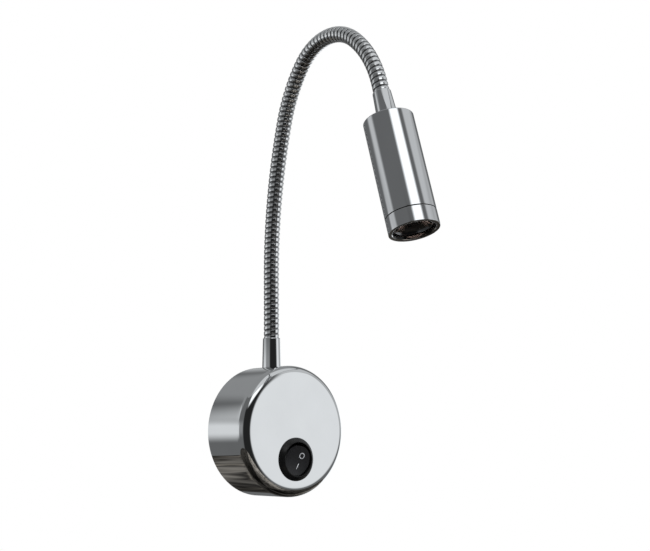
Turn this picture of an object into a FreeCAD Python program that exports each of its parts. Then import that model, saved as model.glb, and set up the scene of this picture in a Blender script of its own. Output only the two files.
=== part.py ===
import FreeCAD, Part
import math
import os
import re
import Sketcher
from FreeCAD import Placement, Rotation, Vector

# Bedside wall reading lamp: a drawn cup on a wall plate, a round rocker switch in its
# front, a bendable gooseneck arm and a small turned spotlight head. Millimetres.
# Frame: the wall is the plane y = 0, the lamp stands out along -Y, +Z is up, and the
# origin is the centre of the wall plate's back face.

os.makedirs("parts", exist_ok=True)
doc = FreeCAD.newDocument("ReadingLamp")
sheet = doc.addObject("Spreadsheet::Sheet", "Sizes")

drivingSizes = [
    # base cup
    ("cupDiameter", 70.0), ("cupDepth", 32.0), ("cupWall", 2.0), ("cupEdgeRadius", 5.0),
    ("cupInnerBevel", 3.0), ("rimGap", 0.5), ("ledgeStart", 5.0), ("ledgeThickness", 3.0),
    ("ledgeReach", 2.4), ("ledgeWidth", 7.0), ("hookAngle", 65.0),
    # wall plate
    ("plateThickness", 2.0), ("plateClearance", 0.3), ("slotSpacing", 50.0),
    ("slotWidth", 4.5), ("slotLength", 8.0), ("hookThickness", 1.6), ("hookWidth", 8.0),
    ("hookClearance", 0.6), ("hookGap", 0.3), ("lugWidth", 10.0), ("lugLength", 10.0),
    ("lugThickness", 2.0), ("lugGap", 0.8), ("lockScrewHeight", 7.0), ("cableHoleDiameter", 9.0),
    ("cableHoleInset", 18.0), ("cableHoleDrop", 12.0), ("grommetLip", 1.5),
    ("grommetBore", 6.5), ("screwRadius", 1.5), ("threadClearance", 0.05),
    ("screwHeadRadius", 2.75), ("screwHeadHeight", 1.8), ("lockScrewLength", 6.0),
    ("lockScrewInset", 0.6), ("screwClearance", 0.2), ("screwShortfall", 0.2),
    ("grommetFit", 0.05),
    # terminal block
    ("blockWidth", 12.0), ("blockTall", 9.0), ("blockDepth", 10.0), ("blockInset", 22.0),
    ("blockDrop", 5.0), ("blockBore", 1.6), ("poleSpacing", 6.6), ("poleScrewRadius", 1.3),
    ("poleClearance", 0.15),
    # driver
    ("driverWidth", 38.0), ("driverTall", 19.0), ("driverDepth", 14.0), ("driverRise", 2.0),
    ("driverWall", 1.5), ("driverLidThickness", 1.5), ("boardThickness", 1.6),
    ("boardRise", 3.6), ("boardMargin", 0.4), ("driverScrewInset", 5.0), ("lidClearance", 0.15),
    ("wireClearance", 0.3),
    ("coreWidth", 13.0), ("coreTall", 12.0), ("coreDepth", 7.0), ("canRadius", 3.2),
    ("canLength", 7.0), ("chokeRadius", 2.4), ("chokeLength", 5.0),
    # rocker switch
    ("switchDrop", 15.0), ("switchAngle", 29.5), ("flangeDiameter", 23.0),
    ("flangeEdge", 0.6), ("flangeHeight", 2.4), ("ringDiameter", 18.8),
    ("wellDiameter", 17.8), ("barrelDiameter", 19.6), ("barrelClearance", 0.2),
    ("barrelDepth", 14.0), ("barrelFloor", 1.6), ("wingReach", 0.9), ("wingWidth", 4.0),
    ("wingLength", 4.0), ("wingGap", 0.2), ("rockerRadius", 7.9), ("rockerRim", 2.6),
    ("rockerSkirt", 2.6), ("rockerDish", 1.2), ("pivotDepth", 3.5), ("pinRadius", 1.0),
    ("pinClearance", 0.05), ("pinReach", 9.6), ("webHalfLength", 7.8), ("webHalfWidth", 2.5),
    ("webDepth", 5.5), ("bossRadius", 2.3), ("bossDepth", 7.5), ("plungerRadius", 1.4),
    ("plungerTip", 9.0), ("plungerLength", 4.0), ("springWire", 0.35), ("springRoom", 2.6),
    ("rockerAngle", 8.0), ("contactAngle", 7.0), ("fulcrumDepth", 10.2),
    ("contactLength", 13.6), ("contactWidth", 4.0), ("contactThickness", 0.8),
    ("contactLift", 0.1), ("bladeWidth", 4.8), ("bladeThickness", 0.8),
    ("bladeReach", 21.0), ("bladeSpacing", 5.8), ("bladeFit", 0.05), ("contactGap", 0.3),
    ("wingRoot", 0.3), ("bossSink", 0.5), ("plungerFit", 0.1),
    # wires inside the base
    ("wireRadius", 0.6), ("wirePairSpacing", 1.5), ("wireBendShare", 0.45),
    ("wireInBlock", 3.0), ("loopRise", 4.1), ("loopWidth", 5.0), ("loopLevel", 4.3),
    ("receptacleWidth", 6.2), ("receptacleThickness", 2.2), ("receptacleLength", 6.4),
    ("receptacleFloor", 0.6),
    # arm ends
    ("stemOffset", 11.0), ("seatRadius", 5.4), ("studRadius", 4.0), ("studHole", 4.15),
    ("studLength", 9.2), ("ferruleLength", 16.4), ("ferruleFoot", 5.2), ("ferruleMouth", 4.75),
    ("ferruleChamfer", 0.45), ("hoseSeat", 9.0), ("leadBore", 2.0), ("nutAcross", 13.0),
    ("nutThickness", 4.0), ("washerRadius", 7.0), ("washerThickness", 2.2), ("washerFit", 0.02),
    ("headFerruleLength", 16.0), ("headFerruleFoot", 5.5), ("headStudLength", 8.0),
    # gooseneck centre line, from the base ferrule's mouth to the head ferrule's mouth
    ("stemRun", 35.0), ("sweepRadius", 300.0), ("sweepAngle", 16.5),
    ("shoulderRadius", 76.0), ("shoulderAngle", 24.5), ("crownRadius", 31.5),
    ("crownAngle", 86.5), ("neckRadius", 56.0), ("neckAngle", 36.0), ("neckRun", 5.5),
    # gooseneck section
    ("hoseRadius", 4.0), ("hoseValley", 3.35), ("hoseBore", 2.95), ("hoseFit", 0.06),
    ("ribPitch", 2.85), ("ridgeShare", 0.42), ("flankShare", 0.16), ("spineRadius", 2.7),
    ("spineBore", 1.5), ("spineGap", 2.0), ("coilSag", 0.15),
    ("leadRadius", 0.9), ("hoseEndRun", 0.3), ("cutMargin", 1.0), ("swayPlace", 16.0),
    ("lowerHinges", 2), ("upperHinges", 4), ("lowerAngle", 32.7),
    # head
    ("headDiameter", 26.0), ("bodyLength", 53.0), ("headWall", 2.0), ("headTop", 3.0),
    ("headEdge", 0.6), ("ringLength", 8.4), ("seamWidth", 0.4), ("seamDepth", 0.5),
    ("ringSleeve", 6.0), ("sleeveWall", 1.4), ("ringMouth", 10.9), ("ringBevel", 0.8),
    ("slugLength", 20.0), ("slugSetback", 9.0), ("slugFit", 0.05), ("wireHole", 2.2),
    ("starThickness", 1.6), ("starRadius", 9.2), ("chipSide", 5.0), ("chipHeight", 1.0),
    ("domeRadius", 1.6), ("holderWall", 1.0), ("holderFloor", 1.2), ("lensRecess", 2.2),
    ("lensFrontRadius", 8.9), ("lensBackRadius", 4.2), ("lensRimHeight", 1.6),
    ("lensWell", 2.4), ("starScrewRadius", 1.0), ("starScrewSpread", 13.0), ("starClearance", 0.1),
    ("domeSink", 0.2), ("lensSink", 0.6), ("holderGap", 0.3), ("holderFit", 0.05),
    ("chipWindow", 3.9), ("mouthFit", 0.1), ("lensFit", 0.2), ("lensGap", 0.1),
    ("lensRimInset", 0.7), ("wellMargin", 0.5),
]
for row, (alias, value) in enumerate(drivingSizes, start=1):
    sheet.set("A%d" % row, alias)
    sheet.set("B%d" % row, str(value))
    sheet.setAlias("B%d" % row, alias)
doc.recompute()
aliases = set(alias for alias, value in drivingSizes)


def bound(text):
    # The same expression with each size's name read from the sheet.
    words = re.split(r"([A-Za-z]+)", text)
    return "".join("Sizes." + word if word in aliases else word for word in words)


def worth(text):
    value = sheet.evalExpression(bound(text).replace("Sizes.", ""))
    return float(getattr(value, "Value", value))


# ---------------------------------------------------------------- modelling helpers
def makeBody(label, placement):
    body = doc.addObject("PartDesign::Body", label)
    body.Label = label
    body.Placement = placement
    return body


def makeSketch(body, name, role="XY_Plane", lift=None):
    plane = [feature for feature in body.Origin.OriginFeatures if feature.Role == role][0]
    sketch = body.newObject("Sketcher::SketchObject", body.Name + "_" + name)
    sketch.AttachmentSupport = (plane, [""])
    sketch.MapMode = "FlatFace"
    if lift:
        sketch.setExpression("AttachmentOffset.Base.z", bound(lift))
    return sketch


def pin(sketch, kind, first, firstPoint, second, secondPoint, text):
    index = sketch.addConstraint(
        Sketcher.Constraint(kind, first, firstPoint, second, secondPoint, worth(text)))
    sketch.setExpression("Constraints[%d]" % index, bound(text))


def placePoint(sketch, geometry, point, place):
    # Holds a point at (x, y) from the sketch's origin.
    for kind, axis, text in (("DistanceX", -2, place[0]), ("DistanceY", -1, place[1])):
        if abs(worth(text)) < 1e-9:
            sketch.addConstraint(Sketcher.Constraint("PointOnObject", geometry, point, axis))
        else:
            pin(sketch, kind, -1, 1, geometry, point, text)


def drawOutline(sketch, corners):
    # A closed outline of straight edges through (x, y) corners.
    spots = [Vector(worth(x), worth(y), 0) for x, y in corners]
    edges = []
    for index, spot in enumerate(spots):
        following = spots[(index + 1) % len(spots)]
        edges.append(sketch.addGeometry(Part.LineSegment(spot, following)))
    for index, edge in enumerate(edges):
        following = edges[(index + 1) % len(edges)]
        sketch.addConstraint(Sketcher.Constraint("Coincident", edge, 2, following, 1))
    for edge, corner in zip(edges, corners):
        placePoint(sketch, edge, 1, corner)


def drawCircle(sketch, x, y, radius):
    circle = Part.Circle(Vector(worth(x), worth(y), 0), Vector(0, 0, 1), worth(radius))
    geometry = sketch.addGeometry(circle)
    index = sketch.addConstraint(Sketcher.Constraint("Radius", geometry, worth(radius)))
    sketch.setExpression("Constraints[%d]" % index, bound(radius))
    placePoint(sketch, geometry, 3, (x, y))


def drawSlot(sketch, x, y, length, width):
    # A slot along the sketch's X axis, with round ends.
    half = worth(width) / 2
    reach = worth(length) / 2 - half
    middle = Vector(worth(x), worth(y), 0)
    left = Part.Circle(middle - Vector(reach, 0, 0), Vector(0, 0, 1), half)
    right = Part.Circle(middle + Vector(reach, 0, 0), Vector(0, 0, 1), half)
    down, along = Vector(0, half, 0), Vector(reach, 0, 0)
    leftArc = sketch.addGeometry(Part.ArcOfCircle(left, math.pi / 2, 3 * math.pi / 2))
    rightArc = sketch.addGeometry(Part.ArcOfCircle(right, -math.pi / 2, math.pi / 2))
    lower = sketch.addGeometry(Part.LineSegment(middle - along - down, middle + along - down))
    upper = sketch.addGeometry(Part.LineSegment(middle + along + down, middle - along + down))
    for first, firstPoint, second, secondPoint in (
            (leftArc, 2, lower, 1), (lower, 2, rightArc, 1),
            (rightArc, 2, upper, 1), (upper, 2, leftArc, 1)):
        sketch.addConstraint(Sketcher.Constraint("Tangent", first, firstPoint, second, secondPoint))
    sketch.addConstraint(Sketcher.Constraint("Horizontal", lower))
    sketch.addConstraint(Sketcher.Constraint("Equal", leftArc, rightArc))
    index = sketch.addConstraint(Sketcher.Constraint("Radius", leftArc, half))
    sketch.setExpression("Constraints[%d]" % index, bound("(%s) / 2" % width))
    offset = "((%s) - (%s)) / 2" % (length, width)
    placePoint(sketch, leftArc, 3, ("(%s) - %s" % (x, offset), y))
    pin(sketch, "DistanceX", -1, 1, rightArc, 3, "(%s) + %s" % (x, offset))


def turn(body, name, corners):
    # A solid of revolution about the body's own Z: corners are (radius, height).
    sketch = makeSketch(body, name, "XZ_Plane")
    drawOutline(sketch, corners)
    feature = body.newObject("PartDesign::Revolution", body.Name + "_" + name + "_turned")
    feature.Profile = sketch
    feature.ReferenceAxis = (sketch, ["V_Axis"])
    feature.Angle = 360
    return feature


def pad(body, sketch, length, middle=False):
    feature = body.newObject("PartDesign::Pad", sketch.Name + "_pad")
    feature.Profile = sketch
    feature.Length = worth(length)
    feature.setExpression("Length", bound(length))
    if middle:
        feature.Midplane = True
    return feature


def pocket(body, sketch, length=None, reverse=False):
    # With no length the pocket goes through everything on its side of the sketch.
    feature = body.newObject("PartDesign::Pocket", sketch.Name + "_pocket")
    feature.Profile = sketch
    feature.Reversed = reverse
    if length is None:
        feature.Type = 1
    else:
        feature.Length = worth(length)
        feature.setExpression("Length", bound(length))
    return feature


def roundEdges(body, name, radius, wanted):
    # A fillet on every edge of the body's tip that the test picks.
    doc.recompute()
    base = body.Tip
    names = ["Edge%d" % n for n, edge in enumerate(base.Shape.Edges, start=1) if wanted(edge)]
    feature = body.newObject("PartDesign::Fillet", body.Name + "_" + name)
    feature.Base = (base, names)
    feature.Radius = worth(radius)
    feature.setExpression("Radius", bound(radius))
    return feature


def ringAt(radius, height):
    # Picks the round edge of this radius at this height on the body's own axis.
    size, level = worth(radius), worth(height)

    def wanted(edge):
        curve = edge.Curve
        return (isinstance(curve, Part.Circle) and abs(curve.Radius - size) < 1e-4
                and abs(curve.Center.z - level) < 1e-4)
    return wanted


def uprightCorner(edge):
    return isinstance(edge.Curve, Part.Line) and abs(edge.tangentAt(edge.FirstParameter).z) > 0.999


def radialBox(near, far, width, angle):
    # Four corners of a box that reaches outward from the axis at an angle from +Y.
    def corner(radius, side):
        x = "(%s) * sin(%s) + (%s) * cos(%s)" % (radius, angle, side, angle)
        y = "(%s) * cos(%s) - (%s) * sin(%s)" % (radius, angle, side, angle)
        return x, y
    half = "(%s) / 2" % width
    minus = "-(%s) / 2" % width
    return [corner(near, minus), corner(far, minus), corner(far, half), corner(near, half)]


def rectangle(left, right, bottom, top):
    return [(left, bottom), (right, bottom), (right, top), (left, top)]


def hexagon(across):
    # Corners of a hexagon about the origin, by its width across flats.
    reach = "(%s) / sqrt(3)" % across
    return [(reach + " * cos(%d)" % angle, reach + " * sin(%d)" % angle) for angle in range(0, 360, 60)]


def group(label, members):
    whole = doc.addObject("Part::Compound", label)
    whole.Label = label
    whole.Links = members
    return whole


subparts = []


def keep(feature):
    subparts.append(feature)
    return feature


# ---------------------------------------------------------------- base, seen from the front
# Base pieces are drawn looking at the wall: x to the right, y up, z out of the wall.
onWall = Placement(Vector(0, 0, 0), Rotation(Vector(1, 0, 0), 90))

cup = keep(makeBody("base_cup", onWall))
turn(cup, "shell", [
    ("0", "cupDepth - cupWall"),
    ("cupDiameter / 2 - cupWall - cupInnerBevel", "cupDepth - cupWall"),
    ("cupDiameter / 2 - cupWall", "cupDepth - cupWall - cupInnerBevel"),
    ("cupDiameter / 2 - cupWall", "rimGap"), ("cupDiameter / 2", "rimGap"),
    ("cupDiameter / 2", "cupDepth"), ("0", "cupDepth")])
roundEdges(cup, "edge", "cupEdgeRadius", ringAt("cupDiameter / 2", "cupDepth"))
switchHole = makeSketch(cup, "switch_hole", lift="cupDepth")
drawCircle(switchHole, "0", "-switchDrop", "barrelDiameter / 2 + barrelClearance")
pocket(cup, switchHole, "cupWall * 2")
armHole = makeSketch(cup, "arm_hole", "XZ_Plane")
drawCircle(armHole, "0", "stemOffset", "studHole")
pocket(cup, armHole)
seatHeight = "sqrt((cupDiameter / 2)^2 - seatRadius^2)"
armSeat = makeSketch(cup, "arm_seat", "XZ_Plane", "-" + seatHeight)
drawCircle(armSeat, "0", "stemOffset", "seatRadius")
pocket(cup, armSeat)
lockHole = makeSketch(cup, "lock_hole", "XZ_Plane")
drawCircle(lockHole, "0", "lockScrewHeight", "screwRadius + screwClearance")
pocket(cup, lockHole, reverse=True)
ledges = makeSketch(cup, "ledges", lift="ledgeStart")
for side in ("hookAngle", "-hookAngle"):
    drawOutline(ledges, radialBox("cupDiameter / 2 - cupWall - ledgeReach",
                                  "cupDiameter / 2 - cupWall / 2", "ledgeWidth", side))
pad(cup, ledges, "ledgeThickness")

# The wall plate: a pressed disc whose two hooks lie in front of the cup's ledges, and
# whose bottom lug takes the lock screw.
plate = keep(makeBody("wall_plate", onWall))
disc = makeSketch(plate, "disc")
drawCircle(disc, "0", "0", "cupDiameter / 2 - cupWall - plateClearance")
drawSlot(disc, "slotSpacing / 2", "0", "slotLength", "slotWidth")
drawSlot(disc, "-slotSpacing / 2", "0", "slotLength", "slotWidth")
drawCircle(disc, "-(cupDiameter / 2 - cableHoleInset)", "-cableHoleDrop", "cableHoleDiameter / 2")
for side in ("driverWidth / 2 - driverScrewInset", "driverScrewInset - driverWidth / 2"):
    drawCircle(disc, side, "driverRise + driverTall / 2", "screwRadius + threadClearance")
drawCircle(disc, "cupDiameter / 2 - blockInset + blockWidth / 2", "-blockDrop - blockTall / 2",
           "poleScrewRadius + threadClearance")
pad(plate, disc, "plateThickness")
hookInner = "cupDiameter / 2 - cupWall - ledgeReach - hookClearance - hookThickness"
hookLegs = makeSketch(plate, "hook_legs", lift="plateThickness")
hookTips = makeSketch(plate, "hook_tips", lift="ledgeStart + ledgeThickness + hookGap")
for side in ("hookAngle", "-hookAngle"):
    drawOutline(hookLegs, radialBox(hookInner, hookInner + " + hookThickness", "hookWidth", side))
    drawOutline(hookTips, radialBox(hookInner, "cupDiameter / 2 - cupWall - hookClearance",
                                    "hookWidth", side))
pad(plate, hookLegs, "ledgeStart + ledgeThickness + hookGap - plateThickness")
pad(plate, hookTips, "hookThickness")
lugOuter = "cupDiameter / 2 - cupWall - lugGap"
lug = makeSketch(plate, "lug", lift="plateThickness")
drawOutline(lug, rectangle("-lugWidth / 2", "lugWidth / 2", "-(%s)" % lugOuter,
                           "lugThickness - (%s)" % lugOuter))
pad(plate, lug, "lugLength")
lugHole = makeSketch(plate, "lug_hole", "XZ_Plane")
drawCircle(lugHole, "0", "lockScrewHeight", "screwRadius + threadClearance")
pocket(plate, lugHole, reverse=True)

# Lock screw: a socket set screw in the lug, whose end stands in the cup's hole from inside.
lockScrewPlace = Placement(
    Vector(0, -worth("lockScrewHeight"), worth("lockScrewInset - cupDiameter / 2")), Rotation())
lockScrew = keep(makeBody("lock_screw", lockScrewPlace))
turn(lockScrew, "profile", [
    ("0", "0"), ("screwRadius * 0.8", "0"), ("screwRadius", "screwRadius * 0.2"),
    ("screwRadius", "lockScrewLength"), ("0", "lockScrewLength")])
lockSocket = makeSketch(lockScrew, "socket")
drawOutline(lockSocket, hexagon("screwRadius"))
pocket(lockScrew, lockSocket, "screwRadius * 1.4", reverse=True)

# Cable grommet: a bushing in the plate's hole with a lip on the inner side.
grommetPlace = onWall * Placement(
    Vector(worth("cableHoleInset - cupDiameter / 2"), -worth("cableHoleDrop"), 0), Rotation())
grommet = keep(makeBody("cable_grommet", grommetPlace))
turn(grommet, "profile", [
    ("grommetBore / 2", "0"), ("cableHoleDiameter / 2 - grommetFit", "0"),
    ("cableHoleDiameter / 2 - grommetFit", "plateThickness"),
    ("cableHoleDiameter / 2 + grommetLip", "plateThickness"),
    ("cableHoleDiameter / 2 + grommetLip * 0.6", "plateThickness + grommetLip"),
    ("grommetBore / 2", "plateThickness + grommetLip")])

# Terminal block with two poles, their clamp screws and the screw that holds it.
blockPlace = onWall * Placement(
    Vector(worth("cupDiameter / 2 - blockInset + blockWidth / 2"), -worth("blockDrop + blockTall / 2"),
           worth("plateThickness")), Rotation())
block = keep(makeBody("terminal_block", blockPlace))
blockOutline = makeSketch(block, "outline")
drawOutline(blockOutline, rectangle("-blockWidth / 2", "blockWidth / 2",
                                    "-blockTall / 2", "blockTall / 2"))
drawCircle(blockOutline, "0", "0", "poleScrewRadius + poleClearance")
pad(block, blockOutline, "blockDepth")
poleHoles = makeSketch(block, "pole_holes", lift="blockDepth")
blockBores = makeSketch(block, "bores", "XZ_Plane", "-blockTall / 2")
for side in ("poleSpacing / 2", "-poleSpacing / 2"):
    drawCircle(poleHoles, side, "0", "poleScrewRadius + threadClearance")
    drawCircle(blockBores, side, "blockDepth * 0.35", "blockBore")
pocket(block, poleHoles, "blockDepth * 0.65")
pocket(block, blockBores, reverse=True)


def plainScrew(label, place, shank, head, headHeight, length):
    # Head above z = 0, shank below it.
    screw = makeBody(label, place)
    turn(screw, "profile", [
        ("0", "-(%s)" % length), (shank, "-(%s)" % length), (shank, "0"), (head, "0"),
        (head, headHeight), ("0", headHeight)])
    return screw


poleScrews = []
for number, side in enumerate(("poleSpacing / 2", "-poleSpacing / 2"), start=1):
    place = blockPlace * Placement(Vector(worth(side), 0, worth("blockDepth * 0.94")), Rotation())
    poleScrew = makeBody("pole_screw_%d" % number, place)
    turn(poleScrew, "profile", [
        ("0", "-blockDepth * 0.4"), ("poleScrewRadius", "-blockDepth * 0.4"),
        ("poleScrewRadius", "0"), ("0", "0")])
    poleScrews.append(poleScrew)
keep(group("terminal_screws", poleScrews))

# LED driver: tray, board, its three tall components and a snap-on lid.
driverPlace = onWall * Placement(
    Vector(0, worth("driverRise + driverTall / 2"), worth("plateThickness")), Rotation())
driverOutline = rectangle("-driverWidth / 2", "driverWidth / 2", "-driverTall / 2", "driverTall / 2")
driverScrewSides = ("driverWidth / 2 - driverScrewInset", "driverScrewInset - driverWidth / 2")
tray = keep(makeBody("driver_case", driverPlace))
trayOutline = makeSketch(tray, "outline")
drawOutline(trayOutline, driverOutline)
for side in driverScrewSides:
    drawCircle(trayOutline, side, "0", "screwRadius + screwClearance")
pad(tray, trayOutline, "driverDepth")
trayRoom = makeSketch(tray, "room", lift="driverDepth")
drawOutline(trayRoom, rectangle("driverWall - driverWidth / 2", "driverWidth / 2 - driverWall",
                                "driverWall - driverTall / 2", "driverTall / 2 - driverWall"))
pocket(tray, trayRoom, "driverDepth - driverWall")
leadHole = makeSketch(tray, "lead_hole", "XZ_Plane")
drawCircle(leadHole, "0", "stemOffset - plateThickness", "leadRadius + wireClearance")
pocket(tray, leadHole)
mainsHole = makeSketch(tray, "mains_hole", "XZ_Plane")
drawCircle(mainsHole, "driverWidth / 4", "stemOffset - plateThickness",
           "wirePairSpacing / 2 + wireRadius + wireClearance / 2")
pocket(tray, mainsHole, reverse=True)
roundEdges(tray, "corners", "driverWall * 0.8", uprightCorner)

lidPlace = driverPlace * Placement(Vector(0, 0, worth("driverDepth")), Rotation())
lid = keep(makeBody("driver_lid", lidPlace))
lidOutline = makeSketch(lid, "outline")
drawOutline(lidOutline, driverOutline)
pad(lid, lidOutline, "driverLidThickness")
lidLip = makeSketch(lid, "lip", lift="-driverWall")
for inset in ("(driverWall + lidClearance)", "(driverWall * 1.8)"):
    drawOutline(lidLip, rectangle(inset + " - driverWidth / 2", "driverWidth / 2 - " + inset,
                                  inset + " - driverTall / 2", "driverTall / 2 - " + inset))
pad(lid, lidLip, "driverWall")
roundEdges(lid, "corners", "driverWall * 0.8", uprightCorner)

boardPlace = driverPlace * Placement(Vector(0, 0, worth("boardRise")), Rotation())
board = keep(makeBody("driver_board", boardPlace))
boardOutline = makeSketch(board, "outline")
drawOutline(boardOutline, rectangle(
    "driverWall + boardMargin - driverWidth / 2", "driverWidth / 2 - driverWall - boardMargin",
    "driverWall + boardMargin - driverTall / 2", "driverTall / 2 - driverWall - boardMargin"))
pad(board, boardOutline, "boardThickness")

onBoard = boardPlace * Placement(Vector(0, 0, worth("boardThickness")), Rotation())
core = doc.addObject("Part::Box", "driver_core")
core.setExpression("Length", bound("coreWidth"))
core.setExpression("Width", bound("coreTall"))
core.setExpression("Height", bound("coreDepth"))
core.Placement = onBoard * Placement(
    Vector(-worth("coreWidth / 2"), -worth("coreTall / 2"), 0), Rotation())
can = doc.addObject("Part::Cylinder", "driver_can")
can.setExpression("Radius", bound("canRadius"))
can.setExpression("Height", bound("canLength"))
can.Placement = onBoard * Placement(
    Vector(worth("coreWidth / 2 + canRadius * 1.5"), 0, 0), Rotation())
choke = doc.addObject("Part::Cylinder", "driver_choke")
choke.setExpression("Radius", bound("chokeRadius"))
choke.setExpression("Height", bound("chokeLength"))
choke.Placement = onBoard * Placement(
    Vector(-worth("coreWidth / 2 + chokeRadius * 1.8"), 0, 0), Rotation())
keep(group("driver_components", [core, can, choke]))

# The screws that hold the driver tray and the terminal block on the wall plate.
plateScrews = []
for number, side in enumerate(driverScrewSides, start=1):
    place = driverPlace * Placement(Vector(worth(side), 0, worth("driverWall")), Rotation())
    plateScrews.append(plainScrew("tray_screw_%d" % number, place, "screwRadius", "screwHeadRadius",
                                  "screwHeadHeight", "driverWall + plateThickness - screwShortfall"))
blockScrewPlace = blockPlace * Placement(Vector(0, 0, worth("blockDepth")), Rotation())
plateScrews.append(plainScrew(
    "block_screw", blockScrewPlace, "poleScrewRadius", "poleScrewRadius * 1.5",
    "poleScrewRadius", "blockDepth + plateThickness - screwShortfall"))
keep(group("plate_screws", plateScrews))

# ---------------------------------------------------------------- rocker switch
# Switch pieces are drawn about the switch's own axis: z = 0 is the cup's front face,
# the rocker's hinge runs along x, and the off mark's end is +y.
switchPlace = onWall * Placement(Vector(0, -worth("switchDrop"), worth("cupDepth")),
                                 Rotation(Vector(0, 0, 1), -worth("switchAngle")))
housing = keep(makeBody("switch_housing", switchPlace))
turn(housing, "profile", [
    ("wellDiameter / 2", "flangeHeight"), ("ringDiameter / 2", "flangeHeight"),
    ("flangeDiameter / 2", "flangeEdge"), ("flangeDiameter / 2", "0"),
    ("barrelDiameter / 2", "0"), ("barrelDiameter / 2", "-barrelDepth"),
    ("0", "-barrelDepth"), ("0", "barrelFloor - barrelDepth"),
    ("wellDiameter / 2", "barrelFloor - barrelDepth")])
wings = makeSketch(housing, "wings", "YZ_Plane")
wingTop = "-(cupWall + wingGap)"
wingFoot = "(barrelDiameter / 2 - wingRoot)"
for side in ("", "-"):
    drawOutline(wings, [
        (side + wingFoot, wingTop),
        (side + "(barrelDiameter / 2 + wingReach)", wingTop),
        (side + "(barrelDiameter / 2)", wingTop + " - wingLength"),
        (side + wingFoot, wingTop + " - wingLength")])
pad(housing, wings, "wingWidth", middle=True)
pinHoles = makeSketch(housing, "pin_holes", "YZ_Plane")
drawCircle(pinHoles, "0", "-pivotDepth", "pinRadius + pinClearance")
pinCut = pocket(housing, pinHoles, "barrelDiameter")
pinCut.Midplane = True
bladeSlots = makeSketch(housing, "blade_slots", lift="barrelFloor - barrelDepth")
slotHalf = "(bladeWidth / 2 + bladeFit)"
for middle in ("0", "bladeSpacing"):
    drawOutline(bladeSlots, rectangle("-" + slotHalf, slotHalf,
                                      middle + " - bladeThickness / 2 - bladeFit",
                                      middle + " + bladeThickness / 2 + bladeFit"))
pocket(housing, bladeSlots, "barrelFloor * 2")

# Terminal blades: the middle one is the fulcrum, the other the fixed contact.
contactTop = ("contactLift / cos(contactAngle) - fulcrumDepth - contactGap"
              " - (bladeSpacing + bladeThickness / 2) * tan(contactAngle)")
blades = []
for name, middle, top in (("common_blade", "0", "-fulcrumDepth"),
                          ("load_blade", "bladeSpacing", contactTop)):
    blade = doc.addObject("Part::Box", name)
    blade.setExpression("Length", bound("bladeWidth"))
    blade.setExpression("Width", bound("bladeThickness"))
    blade.setExpression("Height", bound("bladeReach + " + top))
    corner = Vector(-worth("bladeWidth / 2"), worth(middle + " - bladeThickness / 2"),
                    -worth("bladeReach"))
    blade.Placement = switchPlace * Placement(corner, Rotation())
    blades.append(blade)
keep(group("switch_terminals", blades))

# The see-saw contact rocks on the fulcrum blade, the other way round from the rocker.
contactPlace = switchPlace * Placement(Vector(0, 0, -worth("fulcrumDepth")),
                                       Rotation(Vector(1, 0, 0), -worth("contactAngle")))
contact = keep(makeBody("switch_contact", contactPlace))
contactOutline = makeSketch(contact, "outline", lift="contactLift")
drawOutline(contactOutline, rectangle("-contactWidth / 2", "contactWidth / 2",
                                      "-contactLength / 2", "contactLength / 2"))
pad(contact, contactOutline, "contactThickness")
roundEdges(contact, "corners", "contactWidth * 0.3", uprightCorner)

# Rocker: a dished round cap on a web that carries the hinge pins and the plunger's boss.
# It stands with the on end pressed, so its off end is raised. z = 0 is its hinge.
rockerPlace = switchPlace * Placement(Vector(0, 0, -worth("pivotDepth")),
                                      Rotation(Vector(1, 0, 0), worth("rockerAngle")))
rocker = keep(makeBody("switch_rocker", rockerPlace))
rimLevel = "(pivotDepth + rockerRim)"
cap = makeSketch(rocker, "cap", lift=rimLevel + " - rockerSkirt")
drawCircle(cap, "0", "0", "rockerRadius")
pad(rocker, cap, "rockerSkirt")
dishRadius = "((rockerRadius^2 + rockerDish^2) / (2 * rockerDish))"
dish = makeSketch(rocker, "dish", "YZ_Plane")
drawCircle(dish, "0", rimLevel + " - rockerDish + " + dishRadius, dishRadius)
dishCut = pocket(rocker, dish, "rockerRadius * 3")
dishCut.Midplane = True
web = makeSketch(rocker, "web", lift="pivotDepth - webDepth")
drawOutline(web, rectangle("-webHalfLength", "webHalfLength", "-webHalfWidth", "webHalfWidth"))
pad(rocker, web, rimLevel + " - rockerSkirt - pivotDepth + webDepth + rockerDish / 2")
boss = makeSketch(rocker, "boss", lift="pivotDepth - bossDepth")
drawCircle(boss, "0", "0", "bossRadius")
pad(rocker, boss, "bossDepth - webDepth + bossSink")
hingePins = makeSketch(rocker, "hinge_pins", "YZ_Plane")
drawCircle(hingePins, "0", "0", "pinRadius")
pad(rocker, hingePins, "pinReach * 2", middle=True)
plungerBore = makeSketch(rocker, "plunger_bore", lift="pivotDepth - bossDepth")
drawCircle(plungerBore, "0", "0", "plungerRadius + plungerFit")
pocket(rocker, plungerBore, "bossDepth - plungerTip + plungerLength + springRoom", reverse=True)

plunger = keep(makeBody("switch_plunger", rockerPlace))
tip = "(pivotDepth - plungerTip)"
turn(plunger, "profile", [
    ("0", tip), ("plungerRadius * 0.55", tip), ("plungerRadius", tip + " + plungerRadius * 0.6"),
    ("plungerRadius", tip + " + plungerLength"), ("0", tip + " + plungerLength")])
spring = keep(makeBody("switch_spring", rockerPlace))
springFoot = tip + " + plungerLength"
springOuter = "(plungerRadius - plungerFit)"
springTop = springFoot + " + springRoom"
turn(spring, "profile", [
    (springOuter + " - springWire", springFoot), (springOuter, springFoot),
    (springOuter, springTop), (springOuter + " - springWire", springTop)])

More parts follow.
